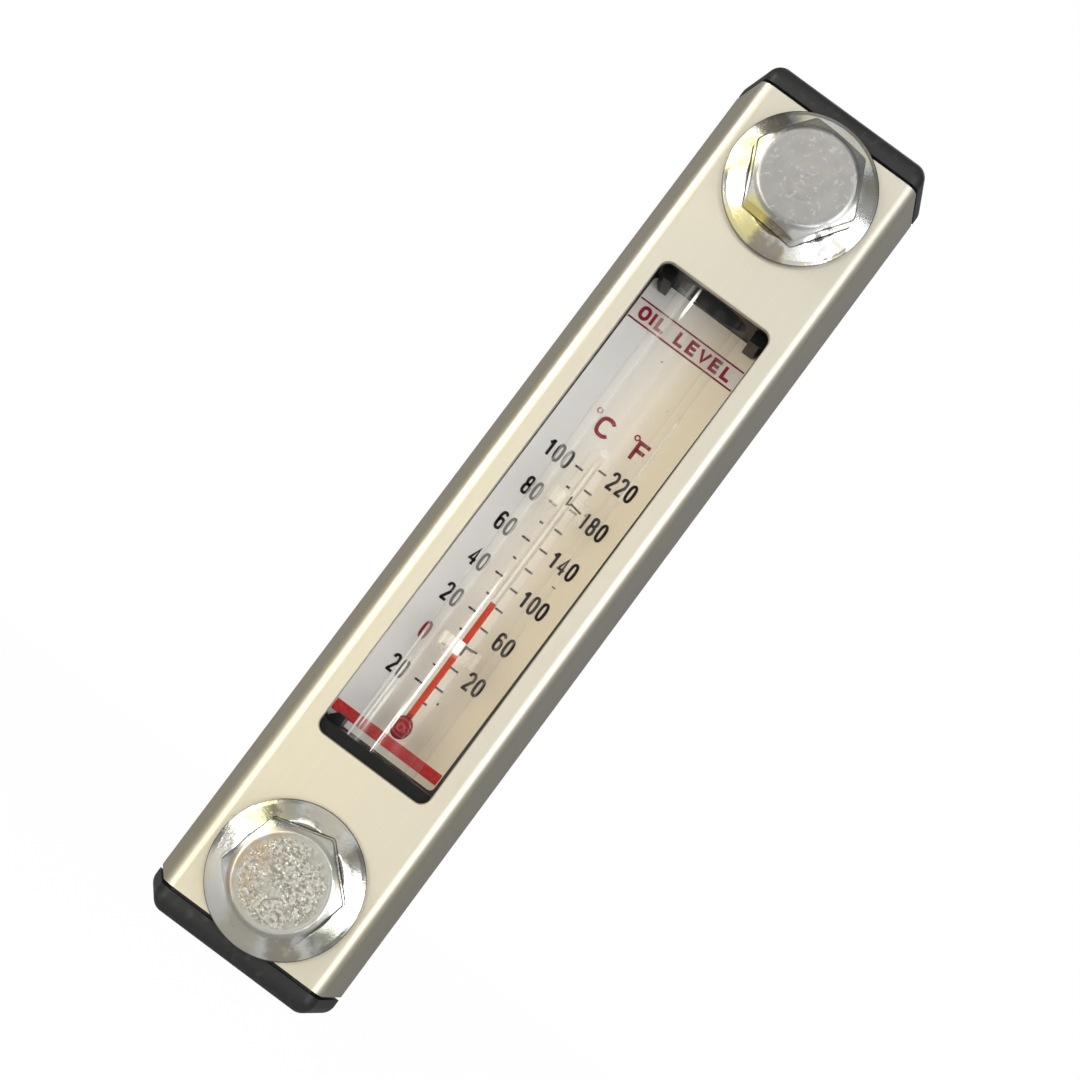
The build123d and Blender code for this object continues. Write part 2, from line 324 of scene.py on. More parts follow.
# --- Finishes --------------------------------------------------------------------
@dataclass(frozen=True)
class Finish:
    """A surface finish, with the record's slot that it belongs to."""

    slot: str
    name: str

    def material(self) -> bpy.types.Material:
        """Makes the finish's material, or gives the one made before."""
        full_name = f"{self.name}_finish"
        known = bpy.data.materials.get(full_name)
        if known:
            return known
        made = bpy.data.materials.new(full_name)
        made.use_nodes = True
        graph = Graph(made.node_tree)
        graph.finish(self.shader(graph))
        return made

    def shader(self, graph: Graph) -> Value:
        """Builds the finish's shader in a graph.

        Args:
            graph: The graph of the material.

        Returns:
            The shader for the material's surface.
        """
        raise NotImplementedError

    @staticmethod
    def principled(graph: Graph, **inputs: Input) -> Value:
        """Adds a Principled shader, whose sockets are named with underscores.

        Args:
            graph: The graph of the material.
            inputs: Values or links, by the sockets' names.

        Returns:
            The shader.
        """
        named = {name.replace("_", " "): given for name, given in inputs.items()}
        for name in ("Base Color", "Emission Color"):
            if name in named:
                named[name] = opaque(named[name])
        return graph.out("BsdfPrincipled", 0, None, named)


@dataclass(frozen=True)
class AnodisedFinish(Finish):
    """Satin anodised aluminium sheet, a little scuffed along its edges."""

    slot: str = "anodised_cover"
    name: str = "anodised_aluminium"
    cool: Colour = (0.51, 0.48, 0.405)
    warm: Colour = (0.57, 0.525, 0.40)
    streak: Colour = (0.68, 0.68, 0.66)
    scuffed: Colour = (0.22, 0.21, 0.19)
    streak_share: float = 0.08
    scuffed_share: float = 0.75
    edge_at: float = 15.3
    edge_width: float = 1.2
    drawn: Triple = (6, 6, 0.05)

    def shader(self, graph: Graph) -> Value:
        """Builds satin metal with drawing lines, nicked edges and patchy tone that leans warm to the
        lower left as painted warm light.

        Args:
            graph: The graph of the material.

        Returns:
            The shader for the material's surface.
        """
        height = graph.coordinate("Z")
        across = graph.coordinate("X")
        patches = graph.noise(0.035, 2)
        # Patchy tone at random, leaning warm to the lower left as painted warm light.
        tone_and_warm_light = graph.step(patches * 60 - height * 0.35 - across * 1.2, 0, 60)
        lines = graph.noise(1.2, 4, self.drawn)
        grain = graph.noise(9, 3)
        nicks = graph.noise(1.3, 4, (1, 1, 0.45))
        edge = graph.step(abs(across), self.edge_at, self.edge_at + self.edge_width)
        worn = graph.step(nicks * edge, 0.62, 0.70)
        tint = graph.blend(tone_and_warm_light, self.cool, self.warm)
        streaked = graph.blend(graph.step(lines, 0.3, 0.7) * self.streak_share, tint, self.streak)
        return self.principled(
            graph,
            Base_Color=graph.blend(worn * self.scuffed_share, streaked, self.scuffed),
            Metallic=0.72,
            Roughness=grain * 0.10 + lines * 0.04 + worn * 0.2 + 0.34,
            Normal=graph.bump(grain * 0.6 + lines * 0.2 - worn * 0.8, 0.02, 0.35),
        )


@dataclass(frozen=True)
class NylonFinish(Finish):
    """Black moulded nylon with a soft sheen, near black inside the window as painted shade."""

    slot: str = "black_nylon"
    name: str = "black_nylon"
    # Near-black painted shade for the block's faces inside the window.
    inner: Colour = (0.002, 0.002, 0.002)
    colour: Colour = (0.022, 0.022, 0.0225)
    dusty: Colour = (0.042, 0.040, 0.036)
    dusty_share: float = 0.8
    cap_from: float = 64.0
    cap_fade: float = 4.0

    def shader(self, graph: Graph) -> Value:
        """Builds black plastic with a fine moulded grain, a little dust and near-black painted shade
        inside the window.

        Args:
            graph: The graph of the material.

        Returns:
            The shader for the material's surface.
        """
        grain = graph.noise(6, 4)
        dust = graph.step(graph.noise(0.7, 5), 0.52, 0.75)
        height = abs(graph.coordinate("Z"))
        # Painted shade: near black below this height, inside the window.
        beyond_painted_shade = graph.step(height, self.cap_from, self.cap_from + self.cap_fade)
        outer = graph.blend(dust * self.dusty_share, self.colour, self.dusty)
        return self.principled(
            graph,
            Base_Color=graph.blend(beyond_painted_shade, self.inner, outer),
            Roughness=grain * 0.16 + dust * 0.12 + 0.30,
            Specular_IOR_Level=0.2,
            Normal=graph.bump(grain, 0.03, 0.5),
        )


@dataclass(frozen=True)
class FlowLine:
    """A soft line painted along a clear piece, with its place and size in millimetres.

    Its share says how much it covers at its middle; a pale line is a painted glint that glows, a dark one
    painted shade.
    """

    across: float
    low: float
    high: float
    width: float
    share: float
    fade: float = 3.0
    core: float = 0.3

    def mask(self, graph: Graph, across: Value, height: Value) -> Value:
        """Gives the share that the line covers at a place.

        Args:
            graph: The piece's shader graph.
            across: Place along X.
            height: Place along Z.

        Returns:
            The share, which fades at the line's sides and ends.
        """
        off = abs(across - self.across)
        beside = 1 - graph.step(off, self.width * self.core, self.width)
        above = graph.step(height, self.low, self.low + self.fade)
        below = 1 - graph.step(height, self.high - self.fade, self.high)
        return beside * above * below * self.share


@dataclass(frozen=True)
class ClearFinish(Finish):
    """Clear plastic or glass that leaves what is behind it lit and unbent."""

    slot: str = "clear_tube"
    name: str = "clear_tube"
    tint: Colour = (0.99, 0.985, 0.975)
    shine: Colour = (0.95, 0.95, 0.95)
    gloss: float = 0.04
    straight_gloss: float = 0.0025
    edge_gloss: float = 0.55
    gloss_power: float = 5.0
    haze: float = 0.004
    edge_haze: float = 0.16
    haze_power: float = 4.0
    haze_colour: Colour = (0.93, 0.93, 0.90)
    # Glow of the pale layer: painted light on the haze, the edge sheen and the painted glints.
    glow: float = 0.35
    # lines are painted glints that glow; shades are painted shade lines.
    lines: tuple[FlowLine, ...] = ()
    shades: tuple[FlowLine, ...] = ()
    shade_colour: Colour = (0.16, 0.13, 0.12)
    axis_rise: float = 8.7
    front_fade: float = 0.4
    # Painted shade on the right side: edge gloss and edge sheen cut by this share.
    clean_side: float = 0.0
    clean_from: float = 1.0
    clean_to: float = 4.0

    def shader(self, graph: Graph) -> Value:
        """Builds a see-through shader with gloss, glowing haze, a painted edge sheen and painted glint
        and shade lines.

        Args:
            graph: The graph of the material.

        Returns:
            The shader for the material's surface.
        """
        facing = graph.out("LayerWeight", "Facing", None, {"Blend": 0.5})
        ripple = graph.noise(0.5, 2, (1, 1, 0.05))
        clear = graph.out("BsdfTransparent", 0, None, {"Color": opaque(self.tint)})
        shine = self.principled(
            graph,
            Base_Color=self.shine,
            Metallic=1.0,
            Roughness=self.gloss,
            Normal=graph.bump(ripple, 0.05, 0.08),
        )
        # Pale layer with a painted glow.
        white = self.principled(
            graph,
            Base_Color=self.haze_colour,
            Roughness=0.3,
            Emission_Color=self.haze_colour,
            Emission_Strength=self.glow,
        )
        across = graph.coordinate("X")
        # Painted shade: less edge gloss and edge sheen on the right side.
        side = 1 - graph.step(across, self.clean_from, self.clean_to) * self.clean_side
        # Edge haze, partly a painted sheen at grazing angles.
        edge_haze = facing**self.haze_power * side * self.edge_haze
        haze_and_glints = edge_haze + self.haze + self.total(graph, self.lines)
        glossy = facing**self.gloss_power * side * self.edge_gloss + self.straight_gloss
        body = graph.layer(glossy, clear, shine)
        if self.shades:
            dark = self.principled(graph, Base_Color=self.shade_colour, Roughness=0.2)
            body = graph.layer(self.total(graph, self.shades), body, dark)
        return graph.layer(haze_and_glints, body, white)

    def total(self, graph: Graph, lines: Sequence[FlowLine]) -> Value | float:
        """Adds up the masks of some lines, on the half that faces the reader.

        Args:
            graph: The piece's shader graph.
            lines: The painted glints or the painted shade lines.

        Returns:
            The share that they cover together, or 0 without any line.
        """
        if not lines:
            return 0.0
        across, depth, height = (graph.coordinate(letter) for letter in "XYZ")
        front = graph.step(depth * -1, self.axis_rise, self.axis_rise + self.front_fade)
        return sum(line.mask(graph, across, height) for line in lines) * front


@dataclass(frozen=True)
class PlateFinish(Finish):
    """Dull sheet metal behind the label, near black as painted shade of the recess."""

    slot: str = "plate_metal"
    name: str = "plate_metal"
    # Near black: painted shade of the recess behind the window.
    colour: Colour = (0.035, 0.030, 0.027)
    worn: Colour = (0.11, 0.10, 0.09)
    rolled: Triple = (4, 4, 0.08)

    def shader(self, graph: Graph) -> Value:
        """Builds rolled sheet with lengthwise lines.

        Args:
            graph: The graph of the material.

        Returns:
            The shader for the material's surface.
        """
        lines = graph.noise(1.6, 4, self.rolled)
        return self.principled(
            graph,
            Base_Color=graph.blend(lines, self.colour, self.worn),
            Metallic=0.6,
            Roughness=lines * 0.15 + 0.45,
            Normal=graph.bump(lines, 0.02, 0.3),
        )


@dataclass(frozen=True)
class LabelFinish(Finish):
    """Pale label, with painted warm light that turns its right side cream, and greyer towards its top."""

    slot: str = "label_white"
    name: str = "label_face"
    cool: Colour = (0.90, 0.90, 0.92)
    warm: Colour = (0.97, 0.86, 0.665)
    grey: Colour = (0.66, 0.63, 0.585)
    spotted: Colour = (0.80, 0.76, 0.66)
    cream_from: float = -6.5
    cream_to: float = 9.0
    cream_share: float = 0.95
    grey_from: float = 25.0
    grey_to: float = 46.0
    grey_share: float = 0.30
    spotted_share: float = 0.10

    def shader(self, graph: Graph) -> Value:
        """Builds a satin printed face with uneven painted warm light and a greyer top.

        Args:
            graph: The graph of the material.

        Returns:
            The shader for the material's surface.
        """
        across = graph.coordinate("X") + graph.noise(0.09, 3) * 7 - 3.5
        # Painted warm light: cool on the left, turning cream towards the right.
        warm_light = graph.step(across, self.cream_from, self.cream_to)
        greyed = graph.step(graph.coordinate("Z"), self.grey_from, self.grey_to)
        mottle = graph.noise(0.5, 4)
        spots = graph.step(mottle, 0.3, 0.8)
        tint = graph.blend(warm_light * self.cream_share, self.cool, self.warm)
        # Greyer towards the top of the label.
        greyer_top = graph.blend(greyed * self.grey_share, tint, self.grey)
        return self.principled(
            graph,
            Base_Color=graph.blend(spots * self.spotted_share, greyer_top, self.spotted),
            Roughness=mottle * 0.12 + 0.34,
            Normal=graph.bump(graph.noise(3, 3), 0.01, 0.25),
        )


@dataclass(frozen=True)
class InkFinish(Finish):
    """Printed ink, a little uneven."""

    slot: str = "print_black"
    name: str = "black_ink"
    colour: Colour = (0.014, 0.011, 0.010)
    faded: Colour = (0.032, 0.027, 0.023)
    upper_share: float = 0.0
    upper_colour: Colour = (0.09, 0.012, 0.022)
    upper_from: float = 20.0
    upper_to: float = 30.0

    def shader(self, graph: Graph) -> Value:
        """Builds ink whose cover varies a little, and that may be darker in the heading.

        Args:
            graph: The graph of the material.

        Returns:
            The shader for the material's surface.
        """
        cover = graph.noise(1.8, 4)
        printed = graph.blend(graph.step(cover, 0.35, 0.75), self.colour, self.faded)
        if self.upper_share:
            heading = graph.step(graph.coordinate("Z"), self.upper_from, self.upper_to)
            printed = graph.blend(heading * self.upper_share, printed, self.upper_colour)
        return self.principled(
            graph,
            Base_Color=printed,
            Roughness=cover * 0.15 + 0.36,
            Specular_IOR_Level=0.2,
            Normal=graph.bump(cover, 0.01, 0.3),
        )


@dataclass(frozen=True)
class SpiritFinish(Finish):
    """Dyed spirit, bright in the capillary and dark in the bulb."""

    slot: str = "red_spirit"
    name: str = "red_spirit"
    column: Colour = (0.72, 0.050, 0.012)
    bulb: Colour = (0.20, 0.003, 0.008)
    arc: Colour = (0.62, 0.10, 0.11)
    swirl: Colour = (0.42, 0.02, 0.02)
    arc_share: float = 0.55
    swirl_share: float = 0.2
    bulb_top: float = -33.4
    bulb_middle: float = -35.3
    bulb_fade: float = 0.8

    def shader(self, graph: Graph) -> Value:
        """Builds a glossy red that darkens into the bulb, with painted highlight arcs there.

        Args:
            graph: The graph of the material.

        Returns:
            The shader for the material's surface.
        """
        height = graph.coordinate("Z")
        column = graph.step(height, self.bulb_top, self.bulb_top + self.bulb_fade)
        swirl = graph.noise(1.2, 3)
        across = graph.coordinate("X") + swirl * 0.8 - 0.4
        off = height - self.bulb_middle
        radius = (across * across + off * off) ** 0.5
        # Painted highlight arcs in the bulb.
        arc_highlights = graph.step(graph.math("SINE", radius * 9.0 + swirl * 5), 0.55, 0.95)
        bulb = graph.blend(arc_highlights * self.arc_share, self.bulb, self.arc)
        tint = graph.blend(column, bulb, self.column)
        return self.principled(
            graph,
            Base_Color=graph.blend(graph.step(swirl, 0.4, 0.8) * self.swirl_share, tint, self.swirl),
            Roughness=swirl * 0.08 + 0.14,
            Specular_IOR_Level=0.08,
        )


@dataclass(frozen=True)
class Stain:
    """A painted reflection on one side of a bolt, with its direction and spread in degrees."""

    angle: float
    spread: float
    colour: Colour
    share: float
    core: float = 0.35

    def mask(self, graph: Graph, across: Value, along: Value, radius: Value) -> Value:
        """Gives the share that the painted reflection covers, with ragged edges.

        Args:
            graph: The bolt's shader graph.
            across: Place beside the bolt's axis, along X.
            along: Place above the bolt's axis, along Z.
            radius: Distance from the bolt's axis.

        Returns:
            The share, which is full near its direction.
        """
        turn = math.radians(self.angle)
        toward = (across * math.cos(turn) + along * math.sin(turn)) / radius
        ragged = toward + (graph.noise(0.55, 3) - 0.5) * 0.12
        edges = (math.cos(math.radians(self.spread * part)) for part in (1.0, self.core))
        return graph.step(ragged, *edges) * self.share


@dataclass(frozen=True)
class ZincFinish(Finish):
    """Bright zinc plating with painted reflections round the bolt, and a turned or pitted crown."""

    crown: Crown = Crown.TURNED
    height: float = 0.0
    stains: tuple[Stain, ...] = ()
    slot: str = "zinc_steel"
    name: str = "zinc_plate"
    silver: Colour = (0.80, 0.80, 0.78)
    yellow: Colour = (0.88, 0.80, 0.44)
    blue: Colour = (0.60, 0.66, 0.74)
    dull: Colour = (0.335, 0.33, 0.32)
    cloudy: Colour = (0.41, 0.395, 0.37)
    scribbled: Colour = (0.58, 0.57, 0.54)
    middle: Colour = (0.49, 0.485, 0.44)
    dark_pit: Colour = (0.25, 0.235, 0.20)
    pale_pit: Colour = (0.62, 0.61, 0.54)
    rose: Colour = (0.47, 0.38, 0.27)
    spark: Colour = (0.92, 0.91, 0.86)
    rim_shade: Colour = (0.12, 0.11, 0.09)
    rim_share: float = 0.8
    rim_radius: float = 11.40
    rim_fade: float = 0.12
    # Painted shade in the corner at the foot of the hexagon's sides.
    grime: Colour = (0.09, 0.08, 0.065)
    grime_share: float = 0.85
    foot_rise: float = 20.4
    crown_rise: float = 25.95
    crown_fade: float = 0.3
    pit_edge: Point = (5.7, 6.7)

    def shader(self, graph: Graph) -> Value:
        """Builds plating with painted reflections round the bolt, a dark rim of painted shade, painted
        shade at the hexagon's foot and a dull crown.

        Args:
            graph: The graph of the material.

        Returns:
            The shader for the material's surface.
        """
        across, rise, along = (graph.coordinate(letter) for letter in "XYZ")
        along = along - self.height
        radius = (across * across + along * along) ** 0.5
        fine = graph.noise(2.6, 5)
        plated = self.plating(graph)
        # Painted reflections: tints by direction round the bolt's axis.
        for reflection in self.stains:
            plated = graph.blend(reflection.mask(graph, across, along, radius), plated, reflection.colour)
        rim = graph.step(radius, self.rim_radius, self.rim_radius + self.rim_fade)
        edged = graph.blend(rim * self.rim_share, plated, self.rim_shade)
        level = rise * -1
        # Painted shade at the foot of the hexagon's sides.
        foot = graph.step(level, self.foot_rise, self.foot_rise + 0.05)
        foot = foot * (1 - graph.step(level, self.foot_rise + 0.25, self.foot_rise + 0.55))
        edged = graph.blend(foot * self.grime_share, edged, self.grime)
        top = graph.step(level, self.crown_rise, self.crown_rise + self.crown_fade)
        if self.crown is Crown.PITTED:
            crown, relief = self.pitted(graph, radius)
        else:
            crown, relief = self.turned(graph)
        return self.principled(
            graph,
            Base_Color=graph.blend(top, edged, crown),
            Metallic=1.0,
            Roughness=fine * 0.12 + top * 0.16 + 0.11,
            Normal=graph.bump(fine * (0.5 - top * 0.38) + top * relief, 0.05, 0.55),
        )

    def plating(self, graph: Graph) -> Value:
        """Gives the plating's slow changes of tint.

        Args:
            graph: The graph of the material.

        Returns:
            The colour, before the painted reflections and the painted shade.
        """
        slow = graph.noise(0.16, 2)
        veil = graph.noise(0.34, 3)
        yellowed = graph.blend(graph.step(slow, 0.50, 0.66) * 0.45, self.silver, self.yellow)
        return graph.blend(graph.step(veil, 0.58, 0.74) * 0.30, yellowed, self.blue)

    def turned(self, graph: Graph) -> tuple[Value, Value]:
        """Gives the colour and relief of a dull turned crown.

        Args:
            graph: The graph of the material.

        Returns:
            The colour, and the height of the scribbled marks.
        """
        cloud = graph.step(graph.noise(0.5, 4), 0.35, 0.70)
        contour = abs(graph.noise(0.42, 4) - 0.5)
        broken = graph.step(graph.noise(0.9, 2), 0.48, 0.62)
        scribble = (1 - graph.step(contour, 0.005, 0.040)) * broken
        veiled = graph.blend(cloud * 0.5, self.dull, self.cloudy)
        return graph.blend(scribble * 0.5, veiled, self.scribbled), scribble * 0.15

    def pitted(self, graph: Graph, radius: Value) -> tuple[Value, Value]:
        """Gives the colour and relief of a crown that is pitted inside its edge.

        Args:
            graph: The bolt's shader graph.
            radius: Distance from the bolt's axis.

        Returns:
            The colour, and the height of the pits and sparks.
        """
        across = graph.coordinate("X")
        rough = graph.step(graph.noise(0.35, 3), 0.24, 0.48)
        edge = radius + graph.noise(0.8, 3) * 1.6 - 0.8
        inner = (1 - graph.step(edge, *self.pit_edge)) * (rough * 0.7 + 0.3)
        pits = graph.step(graph.noise(2.1, 8, (1, 1, 1.2)), 0.36, 0.66)
        sparkle = graph.step(graph.noise(3.2, 5), 0.60, 0.70)
        warm = (1 - graph.step(across, -6.0, 1.0)) * graph.step(graph.noise(0.5, 2), 0.35, 0.60)
        speckled = graph.blend(pits, self.dark_pit, self.pale_pit)
        mottled = graph.blend(inner * 0.85, self.middle, speckled)
        tinted = graph.blend(warm * 0.8, mottled, self.rose)
        bright = graph.blend(sparkle * inner * 0.8, tinted, self.spark)
        return bright, inner * (pits * 0.45 + sparkle * 0.3)


@dataclass(frozen=True)
class RubberFinish(Finish):
    """Black seal rubber."""

    slot: str = "seal_rubber"
    name: str = "seal_rubber"

    def shader(self, graph: Graph) -> Value:
        """Builds matt rubber with a light bloom.

        Args:
            graph: The graph of the material.

        Returns:
            The shader for the material's surface.
        """
        bloom = graph.noise(1.1, 4)
        return self.principled(
            graph,
            Base_Color=graph.blend(bloom, (0.012, 0.012, 0.012), (0.04, 0.038, 0.036)),
            Roughness=bloom * 0.2 + 0.55,
            Normal=graph.bump(bloom, 0.03, 0.4),
        )


# Painted light on the stem: pale painted glints down the capillary and at its top, dark painted shade
# lines beside the capillary.
GLASS = ClearFinish(
    slot="stem_glass",
    name="stem_glass",
    haze=0.006,
    edge_haze=0.16,
    lines=(
        FlowLine(-0.12, -14, 14.2, 0.20, 0.15),
        FlowLine(1.25, -33, 15, 0.75, 0.05),
        FlowLine(0.0, 14.2, 16.0, 1.2, 0.22, 0.4),
    ),
    shades=(
        FlowLine(-0.55, -14, 14.2, 0.26, 0.26),
        FlowLine(0.42, -14, 14.2, 0.26, 0.26),
    ),
)
# Painted glints on the tube: streaks that stand for lamps mirrored in it, and pale bands along its sides.
TUBE = ClearFinish(
    clean_side=0.5,
    lines=(
        FlowLine(-4.7, -45, 45, 1.2, 0.14),
        FlowLine(-3.04, 36.8, 43.5, 0.28, 0.8, 2.5),
        FlowLine(-5.66, -43, -21, 0.26, 1.0, 2.0),
        FlowLine(-4.95, -40, -25, 0.17, 0.8),
        FlowLine(-4.3, -39, -30, 0.3, 0.3),
        FlowLine(-1.12, -43.5, -5, 0.22, 0.85, 20.0),
        FlowLine(-1.45, -43.5, -30, 0.10, 0.8, 6.0),
        FlowLine(5.80, 9, 27, 0.15, 0.9),
        FlowLine(5.3, -45, 45, 0.5, 0.03),
    )
)
# The clips' pale patches are whitish plastic that glows as painted light.
CLIP = ClearFinish(
    slot="clip_plastic",
    name="clip_plastic",
    tint=(0.985, 0.98, 0.965),
    gloss=0.15,
    haze=0.05,
    edge_haze=0.12,
    haze_colour=(0.92, 0.89, 0.83),
    lines=(
        FlowLine(-0.16, -22.2, -19.8, 0.75, 0.93, 0.25),
        FlowLine(-2.2, -22.2, -19.8, 1.5, 0.24, 0.4),
        FlowLine(2.3, -22.8, -20.2, 1.4, 0.06, 0.4),
        FlowLine(-1.9, 4.4, 7.1, 1.2, 0.16, 0.4),
    ),
)
RED_INK = InkFinish("print_red", "red_ink", (0.66, 0.036, 0.044), (0.74, 0.075, 0.075), 0.8)
CRIMSON_INK = InkFinish("print_red", "crimson_ink", (0.25, 0.008, 0.028), (0.33, 0.025, 0.045))
PINK_INK = InkFinish("print_pink", "pink_ink", (0.78, 0.72, 0.70), (0.82, 0.77, 0.74))
DIRT = InkFinish("print_black", "dirt_specks", (0.03, 0.025, 0.02), (0.12, 0.10, 0.08))
# Dark strokes of painted shade at the clips' edges.
CLIP_EDGE_SHADE = InkFinish("print_black", "clip_edge_shade", (0.015, 0.012, 0.010), (0.05, 0.04, 0.035))


# --- Meshes ----------------------------------------------------------------------
def add_piece(name: str, mesh: bpy.types.Mesh, finish: Finish, sharp: float = 32) -> bpy.types.Object:
    """Puts a mesh in the scene as a piece of the gauge.

    Args:
        name: The piece's name.
        mesh: Its mesh, in metres in the frame.
        finish: Its finish.
        sharp: Smallest angle of an edge that shows as sharp, in degrees.

    Returns:
        The new object, which rides on the frame.
    """
    mesh.name = name
    for face in mesh.polygons:
        face.use_smooth = True
    mesh.set_sharp_from_angle(angle=math.radians(sharp))
    mesh.materials.clear()
    mesh.materials.append(finish.material())
    piece = bpy.data.objects.new(name, mesh)
    bpy.context.scene.collection.objects.link(piece)
    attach(piece, "root")
    LOG.info("%s: %d faces", name, len(mesh.polygons))
    return piece


def dress(frame: dict, node: str, finish: Finish) -> None:
    """Gives a CAD node its finish and reports it.

    Args:
        frame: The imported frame, as loaded.
        node: The node's name.
        finish: Its finish.
    """
    target = frame["nodes"][node]
    target.data.materials.clear()
    target.data.materials.append(finish.material())
    LOG.info("%s: %s", node, finish.name)


def as_mesh(made: bmesh.types.BMesh, name: str) -> bpy.types.Mesh:
    """Turns edited geometry into a mesh and frees it.

    Args:
        made: The edited geometry.
        name: The mesh's name.

    Returns:
        The new mesh.
    """
    mesh = bpy.data.meshes.new(name)
    made.to_mesh(mesh)
    made.free()
    return mesh


def facing_reader(across: float, depth: float, height: float, turn: float = 0.0) -> Matrix:
    """Gives the transform that stands flat print upright before the reader.

    Args:
        across: Place of its middle along X.
        depth: Place of its face along Y.
        height: Place of its middle along Z.
        turn: How far it leans, in degrees.

    Returns:
        The transform, in millimetres.
    """
    cosine, sine = math.cos(math.radians(turn)), math.sin(math.radians(turn))
    rows = (
        (cosine, sine, 0, across),
        (0, 0, -1, depth),
        (-sine, cosine, 0, height),
        (0, 0, 0, 1),
    )
    return Matrix(rows)


def lathe(
    rings: Iterable[Ring],
    place: Callable[[float, float, float], Vector],
    count: int,
) -> bpy.types.Mesh:
    """Makes a closed mesh from rings round an axis.

    Args:
        rings: Functions of an angle that give a radius and a rise, in millimetres.
        place: Turns a radius, a rise and an angle into a place.
        count: Points round each ring.

    Returns:
        The new mesh. A ring without radius is a single point.
    """
    made = bmesh.new()
    angles = [TURN * step / count for step in range(count)]
    rows = []
    for ring in rings:
        radius, rise = ring(0.0)
        if radius == 0:
            rows.append([made.verts.new(place(0.0, rise, 0.0))] * count)
        else:
            rows.append([made.verts.new(place(*ring(angle), angle)) for angle in angles])
    for low, high in zip(rows, rows[1:]):
        for here in range(count):
            after = (here + 1) % count
            corners = [low[here], low[after], high[after], high[here]]
            made.faces.new(list(dict.fromkeys(corners)))
    bmesh.ops.recalc_face_normals(made, faces=made.faces)
    return as_mesh(made, "lathe")


def plain(radius: float, rise: float) -> Ring:
    """A round ring."""
    return lambda angle: (radius, rise)


# --- Hollow bolt -----------------------------------------------------------------
# Colours of the painted reflections on the bolts.
GOLD: Colour = (0.92, 0.84, 0.40)
BRASS: Colour = (0.27, 0.255, 0.14)
UMBER: Colour = (0.33, 0.285, 0.22)
CHARCOAL: Colour = (0.11, 0.108, 0.10)
PEARL: Colour = (0.60, 0.56, 0.48)
RUSSET: Colour = (0.45, 0.33, 0.25)
OLIVE: Colour = (0.19, 0.195, 0.145)
STRAW: Colour = (0.56, 0.53, 0.42)
# Painted reflections round each bolt, by direction on the shiny flange and head.
UPPER_REFLECTIONS = (
    Stain(186, 24, BRASS, 0.9),
    Stain(148, 20, UMBER, 0.85),
    Stain(-112, 20, GOLD, 0.9),
    Stain(-84, 18, UMBER, 0.8),
    Stain(-29, 9, CHARCOAL, 0.9),
)
LOWER_REFLECTIONS = (
    Stain(146, 18, BRASS, 0.85),
    Stain(92, 26, PEARL, 0.8),
    Stain(48, 16, UMBER, 0.45),
    Stain(32, 8, RUSSET, 0.6),
    Stain(-14, 24, OLIVE, 0.85),
    Stain(-58, 18, UMBER, 0.7),
    Stain(-95, 26, STRAW, 0.7),
)


